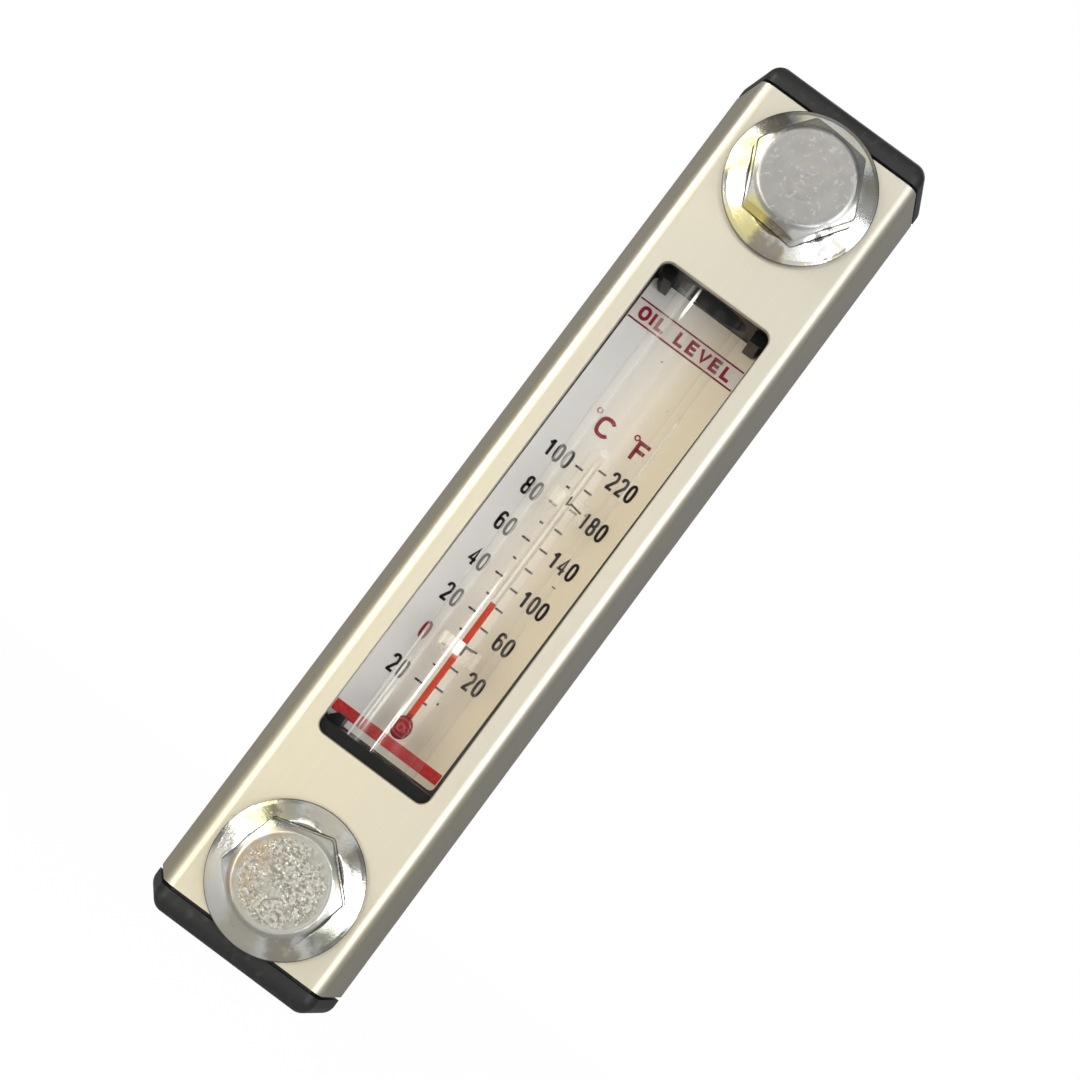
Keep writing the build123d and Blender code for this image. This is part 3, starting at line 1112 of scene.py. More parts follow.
@dataclass
class HollowBolt:
    """A hollow bolt with a flange, a chamfered hexagon and a threaded shank.

    It is one closed lathe of rings, from the bottom of the bore round to the crown.
    Clocking is the turn of its hexagon in degrees, seat the rise of its flange.
    """

    end: End
    crown: Crown
    clocking: float
    seat: float
    stains: tuple[Stain, ...] = ()
    head_width: float = 16.0
    head_height: float = 6.1
    corner_sharpness: float = 70
    chamfer_margin: float = 0.9
    chamfer_angle: float = 30
    flange_diameter: float = 23.2
    flange_rim: float = 1.1
    flange_height: float = 2.4
    flange_neck_margin: float = 0.5
    flange_steps: int = 7
    edge_round: float = 0.3
    edge_flatness: float = 0.6
    seat_turns: tuple[float, ...] = (30, 60, 90)
    rim_turns: tuple[float, ...] = (0, 25, 50, 75)
    foot_width: float = 1.6
    foot_gaps: tuple[float, ...] = (0.55, 0.28, 0.14)
    side_shares: tuple[float, ...] = (0.04, 0.3, 0.6, 0.9, 0.97)
    brow_shares: tuple[float, ...] = (0.08, 0.2, 0.45, 0.7, 0.9)
    brow_share: float = 0.995
    brow_inset: float = 0.02
    shank_diameter: float = 10.0
    shank_reach: float = 16.0
    shank_tip: float = 1.1
    neck_relief: float = 0.5
    pitch: float = 1.5
    thread_depth: float = 0.85
    thread_tip: float = 1.0
    flank_slope: float = 1.25
    flank_flat: float = 0.125
    rings_per_turn: int = 12
    bore: float = 4.0
    bore_rise: float = 8.7
    bore_tip: Point = (0.3, 0.4)
    crown_steps: int = 40
    crown_edge: Point = (0.05, 0.15)
    crown_middle: float = 0.06
    spiral_depth: float = 0.003
    groove_radius: float = 4.1
    groove_width: float = 0.22
    groove_depth: float = 0.018
    inner_radius: float = 1.9
    inner_width: float = 0.2
    inner_depth: float = 0.012
    pit_level: float = 0.05
    pit_depth: float = 0.018
    pit_seed: float = 7.3
    points: int = 168

    def __post_init__(self) -> None:
        """Reads the bolt's height from the frame and works out its radii."""
        low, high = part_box(self.end.node("bolt"))
        self.height = (low.z + high.z) / 2 / MM
        self.flange_radius = self.flange_diameter / 2
        self.shank_radius = self.shank_diameter / 2
        self.crown_radius = self.head_width / 2 - self.chamfer_margin
        self.top = self.seat + self.flange_height + self.head_height

    def place(self, radius: float, rise: float, angle: float) -> Vector:
        """Gives the place of a point on the bolt, in metres."""
        across, along = radius * math.cos(angle), radius * math.sin(angle)
        return Vector((across, -rise, self.height + along)) * MM

    def hexagon(self, angle: float) -> float:
        """Gives the radius of the hexagon, with its corners slightly rounded.

        Args:
            angle: Direction round the bolt, in radians.

        Returns:
            The radius, in millimetres.
        """
        turned = angle - math.radians(self.clocking)
        flats = (math.cos(turned - math.radians(30 + 60 * flat)) for flat in range(6))
        total = sum(max(0.0, flat) ** self.corner_sharpness for flat in flats)
        return self.head_width / 2 / total ** (1 / self.corner_sharpness)

    def cone(self, radius: float) -> float:
        """Gives the rise of the flange's conical top at a radius.

        Args:
            radius: Distance from the bolt's axis.

        Returns:
            The rise, which stays level near the head.
        """
        neck = self.head_width / 2 + self.flange_neck_margin
        slope = (self.flange_height - self.flange_rim) / (self.flange_radius - neck)
        rise = self.flange_rim + (self.flange_radius - radius) * slope
        return self.seat + min(self.flange_height, rise)

    def chamfer(self, radius: float) -> float:
        """Gives the rise of the head's chamfer cone at a radius."""
        return self.top - (radius - self.crown_radius) * math.tan(math.radians(self.chamfer_angle))

    def thread(self) -> list[Ring]:
        """Gives the rings of the thread, from the tip to the wall."""
        steps = round(self.shank_reach / self.pitch * self.rings_per_turn)
        rises = [-self.shank_reach + self.shank_reach * step / steps for step in range(1, steps)]
        return [self._thread_ring(rise) for rise in rises]

    def _thread_ring(self, rise: float) -> Ring:
        """Gives one ring of the thread, cut back at the tip and run out at the wall.

        Args:
            rise: The ring's rise, which is negative behind the wall.

        Returns:
            The ring.
        """
        tip = rise + self.shank_reach
        limit = self.shank_radius - max(0.0, self.thread_tip - tip)
        cut = self.thread_depth * min(1.0, max(0.0, -rise / self.pitch))

        def ring(angle: float) -> Point:
            phase = (rise / self.pitch - angle / TURN) % 1
            flank = abs(phase - 0.5) * 2 * self.flank_slope - self.flank_flat
            return min(limit, self.shank_radius - cut * min(1.0, max(0.0, flank))), rise

        return ring

    def bore_and_shank(self) -> list[Ring]:
        """Gives the rings from the bottom of the bore, round the tip, to the flange."""
        bore_radius = self.bore / 2
        bevel, bevel_height = self.bore_tip
        tip = -self.shank_reach
        neck = self.shank_radius - self.neck_relief
        return [
            plain(0, self.bore_rise),
            plain(bore_radius, self.bore_rise),
            plain(bore_radius, tip + bevel_height),
            plain(bore_radius + bevel, tip),
            plain(self.shank_radius - self.shank_tip, tip),
            *self.thread(),
            plain(self.shank_radius, 0),
            plain(neck, self.neck_relief),
            plain(neck, self.seat),
        ]

    def flange(self) -> list[Ring]:
        """Gives the rings of the flange, from its seat to the foot of the hexagon."""
        outer, edge, flatness = self.flange_radius, self.edge_round, self.edge_flatness
        rim = self.seat + self.flange_rim
        rings = [plain(outer - edge, self.seat)]
        for turn in map(math.radians, self.seat_turns):
            radius = outer - edge * (1 - math.sin(turn))
            rings.append(plain(radius, self.seat + edge * (1 - math.cos(turn))))
        for turn in map(math.radians, self.rim_turns):
            radius = outer - edge * (1 - math.cos(turn))
            rings.append(plain(radius, rim - edge * flatness + edge * math.sin(turn) * flatness))
        inner = self.head_width / 2 + self.foot_width
        for step in range(1, self.flange_steps + 1):
            radius = outer - edge - (outer - edge - inner) * step / self.flange_steps
            rings.append(plain(radius, self.cone(radius)))
        return rings + [self._foot_ring(gap) for gap in self.foot_gaps]

    def _foot_ring(self, gap: float) -> Ring:
        """Gives a ring that follows the foot of the hexagon at a gap.

        Args:
            gap: Distance from the hexagon's sides.

        Returns:
            The ring, on the flange's top.
        """

        def ring(angle: float) -> Point:
            radius = self.hexagon(angle) + gap
            return radius, self.cone(radius)

        return ring

    def head(self) -> list[Ring]:
        """Gives the rings of the hexagon's sides and its chamfer."""

        def side(share: float, inset: float = 0.0) -> Ring:
            def ring(angle: float) -> Point:
                radius = self.hexagon(angle)
                foot, brow = self.cone(radius), self.chamfer(radius)
                return radius - inset, foot + (brow - foot) * share

            return ring

        def brow(inset: float) -> Ring:
            def ring(angle: float) -> Point:
                radius = self.hexagon(angle)
                inner = radius - inset * (radius - self.crown_radius)
                return inner, self.chamfer(inner)

            return ring

        rings = [side(share) for share in self.side_shares]
        rings.append(side(self.brow_share, self.brow_inset))
        return rings + [brow(share) for share in self.brow_shares]

    def crown_rings(self) -> list[Ring]:
        """Gives the rings of the flat top, with its turned lines or its pits."""
        drop, inset = self.crown_edge
        rings = [
            plain(self.crown_radius + drop, self.top - drop),
            plain(self.crown_radius - inset, self.top),
        ]
        for step in range(1, self.crown_steps):
            share = 1 - step / self.crown_steps
            rings.append(self._crown_ring((self.crown_radius - 2 * inset) * share))
        rings.append(plain(0, self.top - self.crown_middle))
        return rings

    def _crown_ring(self, radius: float) -> Ring:
        """Gives one ring of the flat top."""
        rise = self._turned_rise if self.crown is Crown.TURNED else self._pitted_rise
        return lambda angle: (radius, rise(radius, angle))

    def _turned_rise(self, radius: float, angle: float) -> float:
        """Gives the rise of a crown with a faint spiral and two part grooves.

        Args:
            radius: Distance from the bolt's axis.
            angle: Direction round the bolt, in radians.

        Returns:
            The rise, in millimetres.
        """
        spiral = 0.5 + 0.5 * math.cos(radius * 5.2 + angle * 0.35)
        off_centre = radius - 0.5 * math.cos(angle - 2.0) - self.groove_radius
        part = max(0.0, math.cos(angle * 1.5 - 0.6)) ** 0.5
        groove = part * math.exp(-((off_centre / self.groove_width) ** 2))
        inner = part * math.exp(-(((radius - self.inner_radius) / self.inner_width) ** 2))
        rise = self.top - self.spiral_depth * spiral - self.groove_depth * groove
        return rise - self.inner_depth * inner

    def _pitted_rise(self, radius: float, angle: float) -> float:
        """Gives the rise of a crown with shallow dents.

        Args:
            radius: Distance from the bolt's axis.
            angle: Direction round the bolt, in radians.

        Returns:
            The rise, in millimetres.
        """
        spot = Vector((radius * math.cos(angle), radius * math.sin(angle), self.pit_seed))
        dent = noise.noise(spot * 1.4) * 0.5 + noise.noise(spot * 3.1) * 0.35
        return self.top - self.pit_level - self.pit_depth * dent

    def build(self) -> None:
        """Builds the bolt, which stands in for its CAD node."""
        rings = [*self.bore_and_shank(), *self.flange(), *self.head(), *self.crown_rings()]
        mesh = lathe(rings, self.place, self.points)
        name = f"zinc_{self.crown.value}"
        finish = ZincFinish(crown=self.crown, height=self.height, stains=self.stains, name=name)
        bolt = add_piece(self.end.node("hollow_bolt"), mesh, finish, 24)
        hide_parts(self.end.node("bolt"))


# --- Lettering -------------------------------------------------------------------
def bend(middle: Point, radii: Point, start: float, stop: float) -> list[Point]:
    """Gives points on a squarish oval, for the round strokes of letters.

    Args:
        middle: The oval's middle.
        radii: Its half width and half height.
        start: First angle, in degrees.
        stop: Last angle, in degrees.

    Returns:
        The points. A whole turn doesn't repeat its first point.
    """
    steps = max(6, round(abs(stop - start) / ARC_STEP))
    last = steps if abs(stop - start) >= 360 else steps + 1
    points = []
    for step in range(last):
        angle = math.radians(start + (stop - start) * step / steps)
        across, up = (
            math.copysign(abs(share) ** ARC_SQUARENESS, share)
            for share in (math.cos(angle), math.sin(angle))
        )
        points.append((middle[0] + radii[0] * across, middle[1] + radii[1] * up))
    return points


@dataclass(frozen=True)
class Stroke:
    """A stroke of a letter, in a box from -1 to 1 across and from 0 to 1 up."""

    points: tuple[Point, ...]
    closed: bool = False


def line(*points: Point) -> Stroke:
    """A stroke of straight runs."""
    return Stroke(points)


def loop(middle: Point, radii: Point) -> Stroke:
    """A closed round stroke."""
    return Stroke(tuple(bend(middle, radii, 0, 360)), True)


GLYPHS: dict[str, tuple[Stroke, ...]] = {
    "0": (loop((0, 0.5), (1, 0.5)),),
    "1": (line((0.35, 0), (0.35, 1)), line((0.3, 0.95), (-0.75, 0.72))),
    "2": (
        Stroke((*bend((0, 0.71), (1, 0.29), 172, -28), (0.35, 0.40), (-0.95, 0))),
        line((-1.3, 0), (1.1, 0)),
    ),
    "4": (line((0.5, -0.05), (0.5, 1), (-1.05, 0.27), (1.3, 0.27)),),
    "6": (
        loop((0, 0.30), (1, 0.30)),
        Stroke(((-1, 0.28), *bend((0, 0.66), (1, 0.34), 180, 28))),
    ),
    "8": (loop((0, 0.765), (0.86, 0.235)), loop((0, 0.27), (1, 0.27))),
    "C": (Stroke(tuple(bend((0, 0.5), (1.25, 0.5), 38, 322))),),
    "F": (line((-0.85, -0.06), (-0.85, 1), (1.1, 1)), line((-0.85, 0.53), (0.85, 0.53))),
    "O": (loop((0, 0.5), (1, 0.5)),),
    "I": (line((0, -0.08), (0, 1.08)),),
    "L": (line((-0.85, 1.08), (-0.85, 0), (1.1, 0)),),
    "E": (line((1.1, 1), (-0.85, 1), (-0.85, 0), (1.1, 0)), line((-0.85, 0.5), (0.95, 0.5))),
    "V": (line((-1.15, 1.06), (0, 0.04), (1.15, 1.06)),),
    " ": (),
}


@dataclass(frozen=True)
class Lettering:
    """A style of printed letters, with its sizes in millimetres."""

    height: float
    width: float
    gap: float
    pen: float
    thickness: float = 0.08
    mitre_limit: float = 1.5
    narrow: tuple[tuple[str, float], ...] = (("I", 0.32), (" ", 0.6))

    def letter_width(self, letter: str) -> float:
        """Gives the width that a letter takes up."""
        return self.width * dict(self.narrow).get(letter, 1.0)

    def offsets(self, points: Sequence[Vector], closed: bool) -> list[Vector]:
        """Gives the half pen width beside each point, mitred at corners.

        Args:
            points: The line's points.
            closed: Whether the last point joins the first.

        Returns:
            For each point, the way from the line's middle to its left side.
        """
        beside = []
        count = len(points)
        for index, point in enumerate(points):
            runs = []
            if closed or index:
                runs.append((point - points[index - 1]).normalized())
            if closed or index < count - 1:
                runs.append((points[(index + 1) % count] - point).normalized())
            sides = [Vector((-run.y, run.x)) for run in runs]
            middle = sum(sides, Vector((0, 0))).normalized()
            reach = min(self.mitre_limit, 1 / max(0.2, middle.dot(sides[0])))
            beside.append(middle * (self.pen / 2 * reach))
        return beside

    def stroke(self, made: bmesh.types.BMesh, stroke: Stroke, shift: float) -> None:
        """Adds one stroke to a mesh, as a thin solid ribbon.

        Args:
            made: The mesh that gets the stroke.
            stroke: The stroke.
            shift: Place of the letter's middle across the word.
        """
        half = (self.width - self.pen) / 2
        rise = self.height - self.pen
        points = [Vector((x * half + shift, (y - 0.5) * rise)) for x, y in stroke.points]
        self.ribbon(made, points, stroke.closed)

    def ribbon(self, made: bmesh.types.BMesh, points: Sequence[Vector], closed: bool) -> None:
        """Adds a thin solid ribbon along a line of points.

        Args:
            made: The geometry that gets the ribbon.
            points: The line's points.
            closed: Whether the last point joins the first.
        """
        rows = []
        for point, beside in zip(points, self.offsets(points, closed)):
            left, right, top = point + beside, point - beside, self.thickness
            corners = ((left, 0), (right, 0), (right, top), (left, top))
            rows.append([made.verts.new((*corner, up)) for corner, up in corners])
        pairs = list(zip(rows, rows[1:]))
        if closed:
            pairs.append((rows[-1], rows[0]))
        else:
            made.faces.new(rows[0])
            made.faces.new(reversed(rows[-1]))
        for low, high in pairs:
            for side in range(4):
                after = (side + 1) % 4
                made.faces.new((low[side], low[after], high[after], high[side]))

    def write(self, text: str) -> bpy.types.Mesh:
        """Makes a word or a number round its own middle.

        Args:
            text: What it says, in characters that have a glyph.

        Returns:
            A mesh in millimetres, from 0 to the print's thickness.
        """
        made = bmesh.new()
        length = sum(self.letter_width(letter) + self.gap for letter in text) - self.gap
        start = -length / 2
        for letter in text:
            width = self.letter_width(letter)
            for stroke in GLYPHS[letter]:
                self.stroke(made, stroke, start + width / 2)
            start += width + self.gap
        bmesh.ops.recalc_face_normals(made, faces=made.faces)
        return as_mesh(made, "lettering")


# --- Scale label -----------------------------------------------------------------
FAHRENHEIT_STEP = 1.8
FREEZING_FAHRENHEIT = 32


def in_celsius(fahrenheit: float) -> float:
    """Turns degrees Fahrenheit into degrees Celsius."""
    return (fahrenheit - FREEZING_FAHRENHEIT) / FAHRENHEIT_STEP


@dataclass(frozen=True)
class Speck:
    """A flake of dirt on the label, with its place and half sizes in millimetres."""

    across: float
    up: float
    width: float
    height: float
    points: int = 11
    raggedness: float = 0.3

    def ragged(self, share: float, rise: float, seed: int) -> Ring:
        """Gives a ragged ring at a share of the flake's size.

        Args:
            share: Share of the flake's half sizes.
            rise: The ring's height.
            seed: Number that gives the flake its outline.

        Returns:
            The ring.
        """

        def ring(angle: float) -> Point:
            spot = Vector((math.cos(angle), math.sin(angle), seed)) * 1.7
            return share * (1 + self.raggedness * noise.noise(spot)), rise

        return ring

    def mesh(self, thickness: float, seed: int) -> bpy.types.Mesh:
        """Makes the flake round its own middle.

        Args:
            thickness: How far it stands off the label.
            seed: Number that gives it an outline of its own.

        Returns:
            A closed mesh in millimetres.
        """

        def place(radius: float, rise: float, turn: float) -> Vector:
            across, up = radius * self.width, radius * self.height
            return Vector((across * math.cos(turn), up * math.sin(turn), rise))

        rings = [
            plain(0, 0),
            self.ragged(1, 0, seed),
            self.ragged(0.75, thickness * 0.8, seed),
            plain(0, thickness),
        ]
        return lathe(rings, place, self.points)


@dataclass
class ScaleLabel:
    """The back plate, the label on it and all its print.

    Celsius stands on the left and Fahrenheit on the right, on one scale of heights.
    """

    frame: dict
    skew: float = 0.3
    print_thickness: float = 0.08
    celsius: tuple[int, ...] = (100, 80, 60, 40, 20, 0, -20)
    fahrenheit: tuple[int, ...] = (220, 180, 140, 100, 60, 20)
    red_value: int = 0
    celsius_at: float = -5.45
    fahrenheit_at: float = 5.35
    tick_height: float = 0.34
    top_fahrenheit: float = 220
    low_fahrenheit: float = -16
    digits: Lettering = Lettering(height=3.15, width=1.36, gap=0.27, pen=0.46)
    units: Lettering = Lettering(height=3.45, width=2.5, gap=0, pen=0.62)
    words: Lettering = Lettering(height=2.3, width=1.85, gap=0.34, pen=0.54)
    unit_places: tuple[tuple[str, float], ...] = (("C", -2.15), ("F", 4.3))
    unit_at: float = 19.3
    ring_places: tuple[float, ...] = (-4.35, 2.7)
    ring_at: float = 21.0
    ring_radius: float = 0.50
    ring_width: float = 0.23
    ring_points: int = 28
    heading: str = "OIL LEVEL"
    specks: tuple[Speck, ...] = (
        Speck(-1.3, 32.6, 0.16, 0.14),
        Speck(6.15, -4.85, 0.42, 0.13),
        Speck(2.75, -29.3, 0.17, 0.26),
        Speck(-6.4, 5.2, 0.10, 0.08),
        Speck(3.9, 27.0, 0.09, 0.08),
    )

    def __post_init__(self) -> None:
        """Reads the label's place and its scale from the frame."""
        low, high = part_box("scale_marks")
        span = (high.z - low.z) / MM - self.tick_height
        degrees = self.top_fahrenheit - self.low_fahrenheit
        self.degree = span / degrees * FAHRENHEIT_STEP
        lowest = low.z / MM + self.tick_height / 2
        self.zero = lowest - in_celsius(self.low_fahrenheit) * self.degree
        low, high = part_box("scale_label")
        middle = (low + high) / 2
        self.plane = facing_reader(middle.x / MM, low.y / MM, 0, self.skew)

    def on_label(self, meshes: Iterable[tuple[bpy.types.Mesh, float, float]]) -> bpy.types.Mesh:
        """Joins print on the label's face.

        Args:
            meshes: Meshes with their places across and up the label.

        Returns:
            One mesh, in metres in the frame.
        """
        joined = bmesh.new()
        for mesh, across, up in meshes:
            mesh.transform(Matrix.Scale(MM, 4) @ self.plane @ Matrix.Translation((across, up, 0)))
            joined.from_mesh(mesh)
            bpy.data.meshes.remove(mesh)
        return as_mesh(joined, "print")

    def ring(self) -> bpy.types.Mesh:
        """Makes a degree ring round its own middle, in millimetres."""
        outer = self.ring_radius
        inner = outer - self.ring_width
        top = self.print_thickness
        corners = ((inner, 0), (outer, 0), (outer, top), (inner, top), (inner, 0))

        def place(radius: float, rise: float, turn: float) -> Vector:
            return Vector((radius * math.cos(turn), radius * math.sin(turn), rise))

        return lathe([plain(*corner) for corner in corners], place, self.ring_points)

    def numbers(self) -> None:
        """Builds the numbers of both scales."""
        black, red = [], []
        for value in self.celsius:
            row = red if value == self.red_value else black
            height = self.zero + value * self.degree
            row.append((self.digits.write(str(abs(value))), self.celsius_at, height))
        for value in self.fahrenheit:
            height = self.zero + in_celsius(value) * self.degree
            black.append((self.digits.write(str(value)), self.fahrenheit_at, height))
        add_piece("scale_numbers", self.on_label(black), InkFinish())
        add_piece("zero_number", self.on_label(red), CRIMSON_INK)

    def heads(self) -> None:
        """Builds the signs of both units and the heading."""
        signs = [(self.units.write(unit), at, self.unit_at) for unit, at in self.unit_places]
        signs += [(self.ring(), at, self.ring_at) for at in self.ring_places]
        add_piece("unit_signs", self.on_label(signs), CRIMSON_INK)
        low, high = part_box("heading_band")
        words = self.words.write(self.heading)
        words.transform(Matrix.Translation((0, 0, self.print_thickness)))
        middle = (low.z + high.z) / 2 / MM
        add_piece("heading_words", self.on_label([(words, 0, middle)]), CRIMSON_INK)

    def build(self) -> None:
        """Dresses the plate, the label and its print, and adds the lettering."""
        dress(self.frame, "back_plate", PlateFinish())
        dress(self.frame, "scale_label", LabelFinish())
        dress(self.frame, "heading_band", PINK_INK)
        dress(self.frame, "red_print", RED_INK)
        dress(self.frame, "scale_marks", InkFinish())
        self.numbers()
        self.heads()
        flakes = [
            (speck.mesh(self.print_thickness, seed), speck.across, speck.up)
            for seed, speck in enumerate(self.specks)
        ]
        add_piece("dirt_specks", self.on_label(flakes), DIRT)


# --- Housing, sight glass and thermometer -----------------------------------------
@dataclass
class Housing:
    """The cover, its two end blocks and the seals at the bolts."""

    frame: dict

    def build(self) -> None:
        """Dresses the cover, the blocks and the seals."""
        dress(self.frame, "cover", AnodisedFinish())
        for end in End:
            dress(self.frame, end.node("end_block"), NylonFinish())
            dress(self.frame, end.node("head_seal"), RubberFinish())
            dress(self.frame, end.node("wall_seal"), RubberFinish())


@dataclass
class SightGlass:
    """The clear tube, its seals and the thermometer held inside it."""

    frame: dict
    upper_hook: tuple[Point, ...] = ((-0.05, 1.1), (-0.05, -0.3), (0.6, 0.10), (2.5, -0.25))
    lower_hook: tuple[Point, ...] = ((0.65, -0.55), (0.65, 1.0), (1.2, 1.0), (2.5, 1.15))
    hook_inset: float = 0.95
    hook_pen: Lettering = Lettering(height=2.0, width=2.0, gap=0, pen=0.34, thickness=0.12)

    def hook(self, end: End, points: Sequence[Point]) -> bpy.types.Mesh:
        """Makes a dark stroke in front of a clip, painted shade for the clip's dark edge.

        Args:
            end: The clip's end of the gauge.
            points: The stroke's line, in millimetres from the clip's middle.

        Returns:
            Its mesh, in metres in the frame.
        """
        low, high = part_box(end.node("thermometer_clip"))
        middle = (low + high) / 2
        made = bmesh.new()
        self.hook_pen.ribbon(made, [Vector(point) for point in points], False)
        bmesh.ops.recalc_face_normals(made, faces=made.faces)
        mesh = as_mesh(made, "hook")
        front = low.y / MM + self.hook_inset
        mesh.transform(Matrix.Scale(MM, 4) @ facing_reader(middle.x / MM, front, middle.z / MM))
        return mesh

    def build(self) -> None:
        """Dresses the tube, its seals, the stem, the spirit and the clips."""
        dress(self.frame, "sight_tube", TUBE)
        dress(self.frame, "thermometer_glass", GLASS)
        dress(self.frame, "thermometer_spirit", SpiritFinish())
        for end in End:
            dress(self.frame, end.node("tube_seal"), RubberFinish())
            dress(self.frame, end.node("thermometer_clip"), CLIP)
        add_piece("upper_clip_edge_shade", self.hook(End.UPPER, self.upper_hook), CLIP_EDGE_SHADE)
        add_piece("lower_clip_edge_shade", self.hook(End.LOWER, self.lower_hook), CLIP_EDGE_SHADE)


# --- Studio ----------------------------------------------------------------------
@dataclass(frozen=True)
class Lamp:
    """A soft lamp that looks at the gauge, with its place and size in metres."""

    name: str
    place: Triple
    size: Point
    level: float
    colour: Colour = WHITE
    target: Triple = (0, 0, 0)

    def build(self) -> None:
        """Adds the lamp, whose level is its own brightness."""
        light = bpy.data.lights.new(self.name, "AREA")
        light.shape = "RECTANGLE"
        light.size, light.size_y = self.size
        light.color = self.colour
        light.energy = self.level * self.size[0] * self.size[1] * math.pi
        lamp = bpy.data.objects.new(self.name, light)
        lamp.location = self.place
        aim = Vector(self.target) - Vector(self.place)
        lamp.rotation_euler = aim.to_track_quat("-Z", "Y").to_euler()
        lamp.visible_camera = False
        bpy.context.scene.collection.objects.link(lamp)


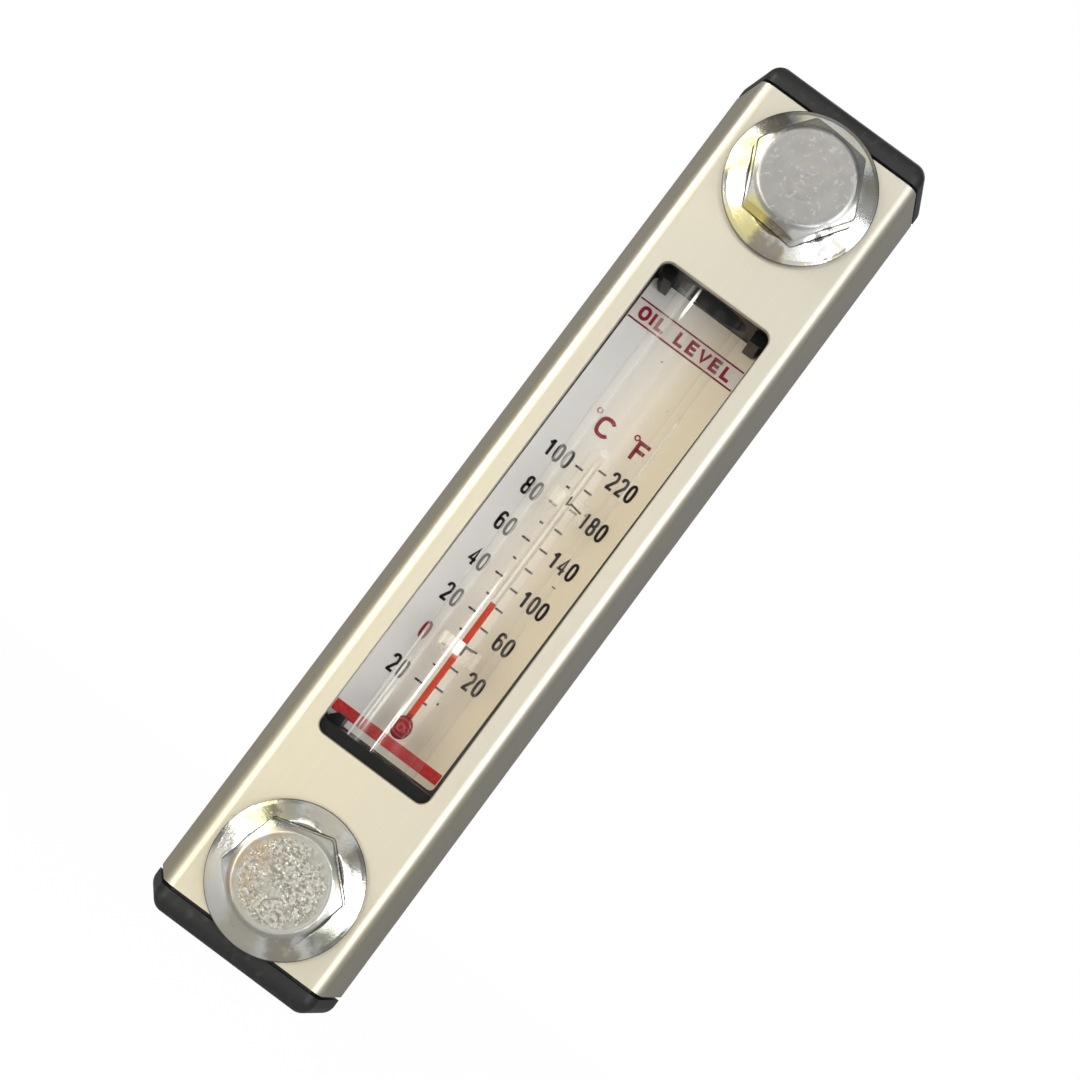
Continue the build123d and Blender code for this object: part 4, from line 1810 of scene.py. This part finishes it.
@dataclass
class Studio:
    """Floor, world, lamps and camera.

    The viewpoint is in millimetres, the camera's angles are in degrees, and the
    floor's sizes are in metres.
    """

    viewpoint: Triple = (10.1, -388.8, -34.7)
    yaw: float = -1.54
    pitch: float = 5.08
    roll: float = 36.69
    lens: float = 85.83
    sensor: float = 36
    clip: Point = (0.01, 50)
    floor_drop: float = 0.22
    floor_size: float = 8.0
    floor_colour: Colour = (0.55, 0.55, 0.55)
    floor_white: float = 1.15
    floor_share: float = 0.85
    front_level: float = 0.24
    back_level: float = 0.14
    cloud_scale: float = 2.3
    cool_cloud: Colour = (0.93, 0.96, 1.0)
    warm_cloud: Colour = (1.0, 0.98, 0.93)
    glossy_share: float = 0.06
    see_through: int = 32
    lamps: tuple[Lamp, ...] = (
        Lamp("above", (0.0, -0.98, 0.45), (0.70, 0.20), 1.8, (1.0, 0.985, 0.95)),
        Lamp("below", (0.03, -1.03, -0.33), (0.70, 0.20), 1.1, (1.0, 0.985, 0.94)),
        Lamp("left", (-0.53, -0.94, 0.02), (0.58, 0.62), 4.7, (1.0, 0.965, 0.88)),
        Lamp("right", (0.60, -0.90, 0.05), (0.64, 0.68), 5.2, (0.97, 0.98, 1.0)),
        Lamp("key", (-0.68, -0.44, 0.22), (0.28, 0.45), 4.2, (1.0, 0.96, 0.84)),
        Lamp("roof", (0.0, -0.68, 0.84), (0.90, 0.55), 0.45, (1.0, 0.99, 0.95)),
        Lamp("wing", (0.80, -0.50, 0.10), (0.20, 0.60), 1.8),
        Lamp("glint", (-0.57, -0.41, 0.178), (0.07, 0.03), 130),
        Lamp("back", (0.25, 0.9, 0.8), (0.7, 0.7), 1.5),
    )

    def camera(self) -> None:
        """Adds the camera, rolled so that the gauge leans."""
        yaw, pitch, roll = map(math.radians, (self.yaw, self.pitch, self.roll))
        level = math.cos(pitch)
        ahead = Vector((math.sin(yaw) * level, math.cos(yaw) * level, math.sin(pitch)))
        right = ahead.cross(Vector((0, 0, 1))).normalized()
        up = right.cross(ahead)
        leaned_right = right * math.cos(roll) + up * math.sin(roll)
        leaned_up = up * math.cos(roll) - right * math.sin(roll)
        basis = Matrix((leaned_right, leaned_up, -ahead)).transposed()
        data = bpy.data.cameras.new("camera")
        data.lens = self.lens
        data.sensor_width = self.sensor
        data.clip_start, data.clip_end = self.clip
        camera = bpy.data.objects.new("camera", data)
        camera.matrix_world = Matrix.Translation(Vector(self.viewpoint) * MM) @ basis.to_4x4()
        bpy.context.scene.collection.objects.link(camera)
        bpy.context.scene.camera = camera

    @staticmethod
    def path_share(graph: Graph, glossy: float) -> Value:
        """Gives the share of white that a ray sees, for the world and the floor.

        Args:
            graph: The graph of the world or of the floor.
            glossy: Share for glossy rays.

        Returns:
            1 for camera and transmission rays, the glossy share, or 0.
        """
        path = graph.node("LightPath")
        camera, gloss, through = (
            Value(graph, path.outputs[f"Is {kind} Ray"]) for kind in ("Camera", "Glossy", "Transmission")
        )
        return graph.math("MINIMUM", camera + through + gloss * glossy, 1.0)

    def world(self) -> None:
        """Builds a world that is white to the camera and a soft studio to the gauge."""
        world = bpy.data.worlds.new("studio")
        world.use_nodes = True
        graph = Graph(world.node_tree)
        heading = graph.out("TexCoord", "Generated")
        front = graph.step(graph.dot(heading, (0, -1, 0)), 0.2, 0.9)
        inputs = {"Vector": heading, "Scale": self.cloud_scale, "Detail": 2}
        clouds = graph.out("TexNoise", 0, None, inputs)
        level = front * (self.front_level - self.back_level) + self.back_level
        shaped = level * (graph.step(clouds, 0.34, 0.66) * 0.8 + 0.6)
        tint = graph.blend(graph.step(clouds, 0.4, 0.7), self.cool_cloud, self.warm_cloud)
        studio = graph.out("Background", 0, None, {"Color": tint, "Strength": shaped})
        white = graph.out("Background", 0, None, {"Color": opaque(WHITE), "Strength": 1.0})
        share = self.path_share(graph, self.glossy_share)
        graph.finish(graph.layer(share, studio, white), "OutputWorld")
        bpy.context.scene.world = world

    def floor(self) -> None:
        """Lays a floor well under the gauge, white to the camera but for its shadow."""
        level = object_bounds()[0].z - self.floor_drop
        half = self.floor_size / 2
        mesh = bpy.data.meshes.new("floor")
        corners = [(-half, -half, level), (half, -half, level), (half, half, level), (-half, half, level)]
        mesh.from_pydata(corners, [], [(0, 1, 2, 3)])
        material = bpy.data.materials.new("floor")
        material.use_nodes = True
        graph = Graph(material.node_tree)
        pale = graph.out("BsdfDiffuse", 0, None, {"Color": opaque(self.floor_colour)})
        inputs = {"Color": opaque(WHITE), "Strength": self.floor_white}
        white = graph.out("Emission", 0, None, inputs)
        share = self.path_share(graph, self.glossy_share) * self.floor_share
        graph.finish(graph.layer(share, pale, white))
        mesh.materials.append(material)
        floor = bpy.data.objects.new("floor", mesh)
        bpy.context.scene.collection.objects.link(floor)
        floor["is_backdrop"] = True

    def build(self) -> None:
        """Builds the whole studio."""
        bpy.context.scene.view_settings.view_transform = "Standard"
        bpy.context.scene.cycles.transparent_max_bounces = self.see_through
        self.world()
        self.floor()
        self.camera()
        for lamp in self.lamps:
            lamp.build()


def main() -> None:
    """Builds the gauge round its frame."""
    logging.basicConfig(level=logging.INFO, format="%(name)s: %(message)s")
    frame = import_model()
    seat = -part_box("cover")[0].y / MM
    Studio().build()
    Housing(frame).build()
    SightGlass(frame).build()
    ScaleLabel(frame).build()
    HollowBolt(End.UPPER, Crown.TURNED, -4.6, seat, UPPER_REFLECTIONS).build()
    HollowBolt(End.LOWER, Crown.PITTED, 15.7, seat, LOWER_REFLECTIONS).build()


if __name__ == "__main__":
    main()
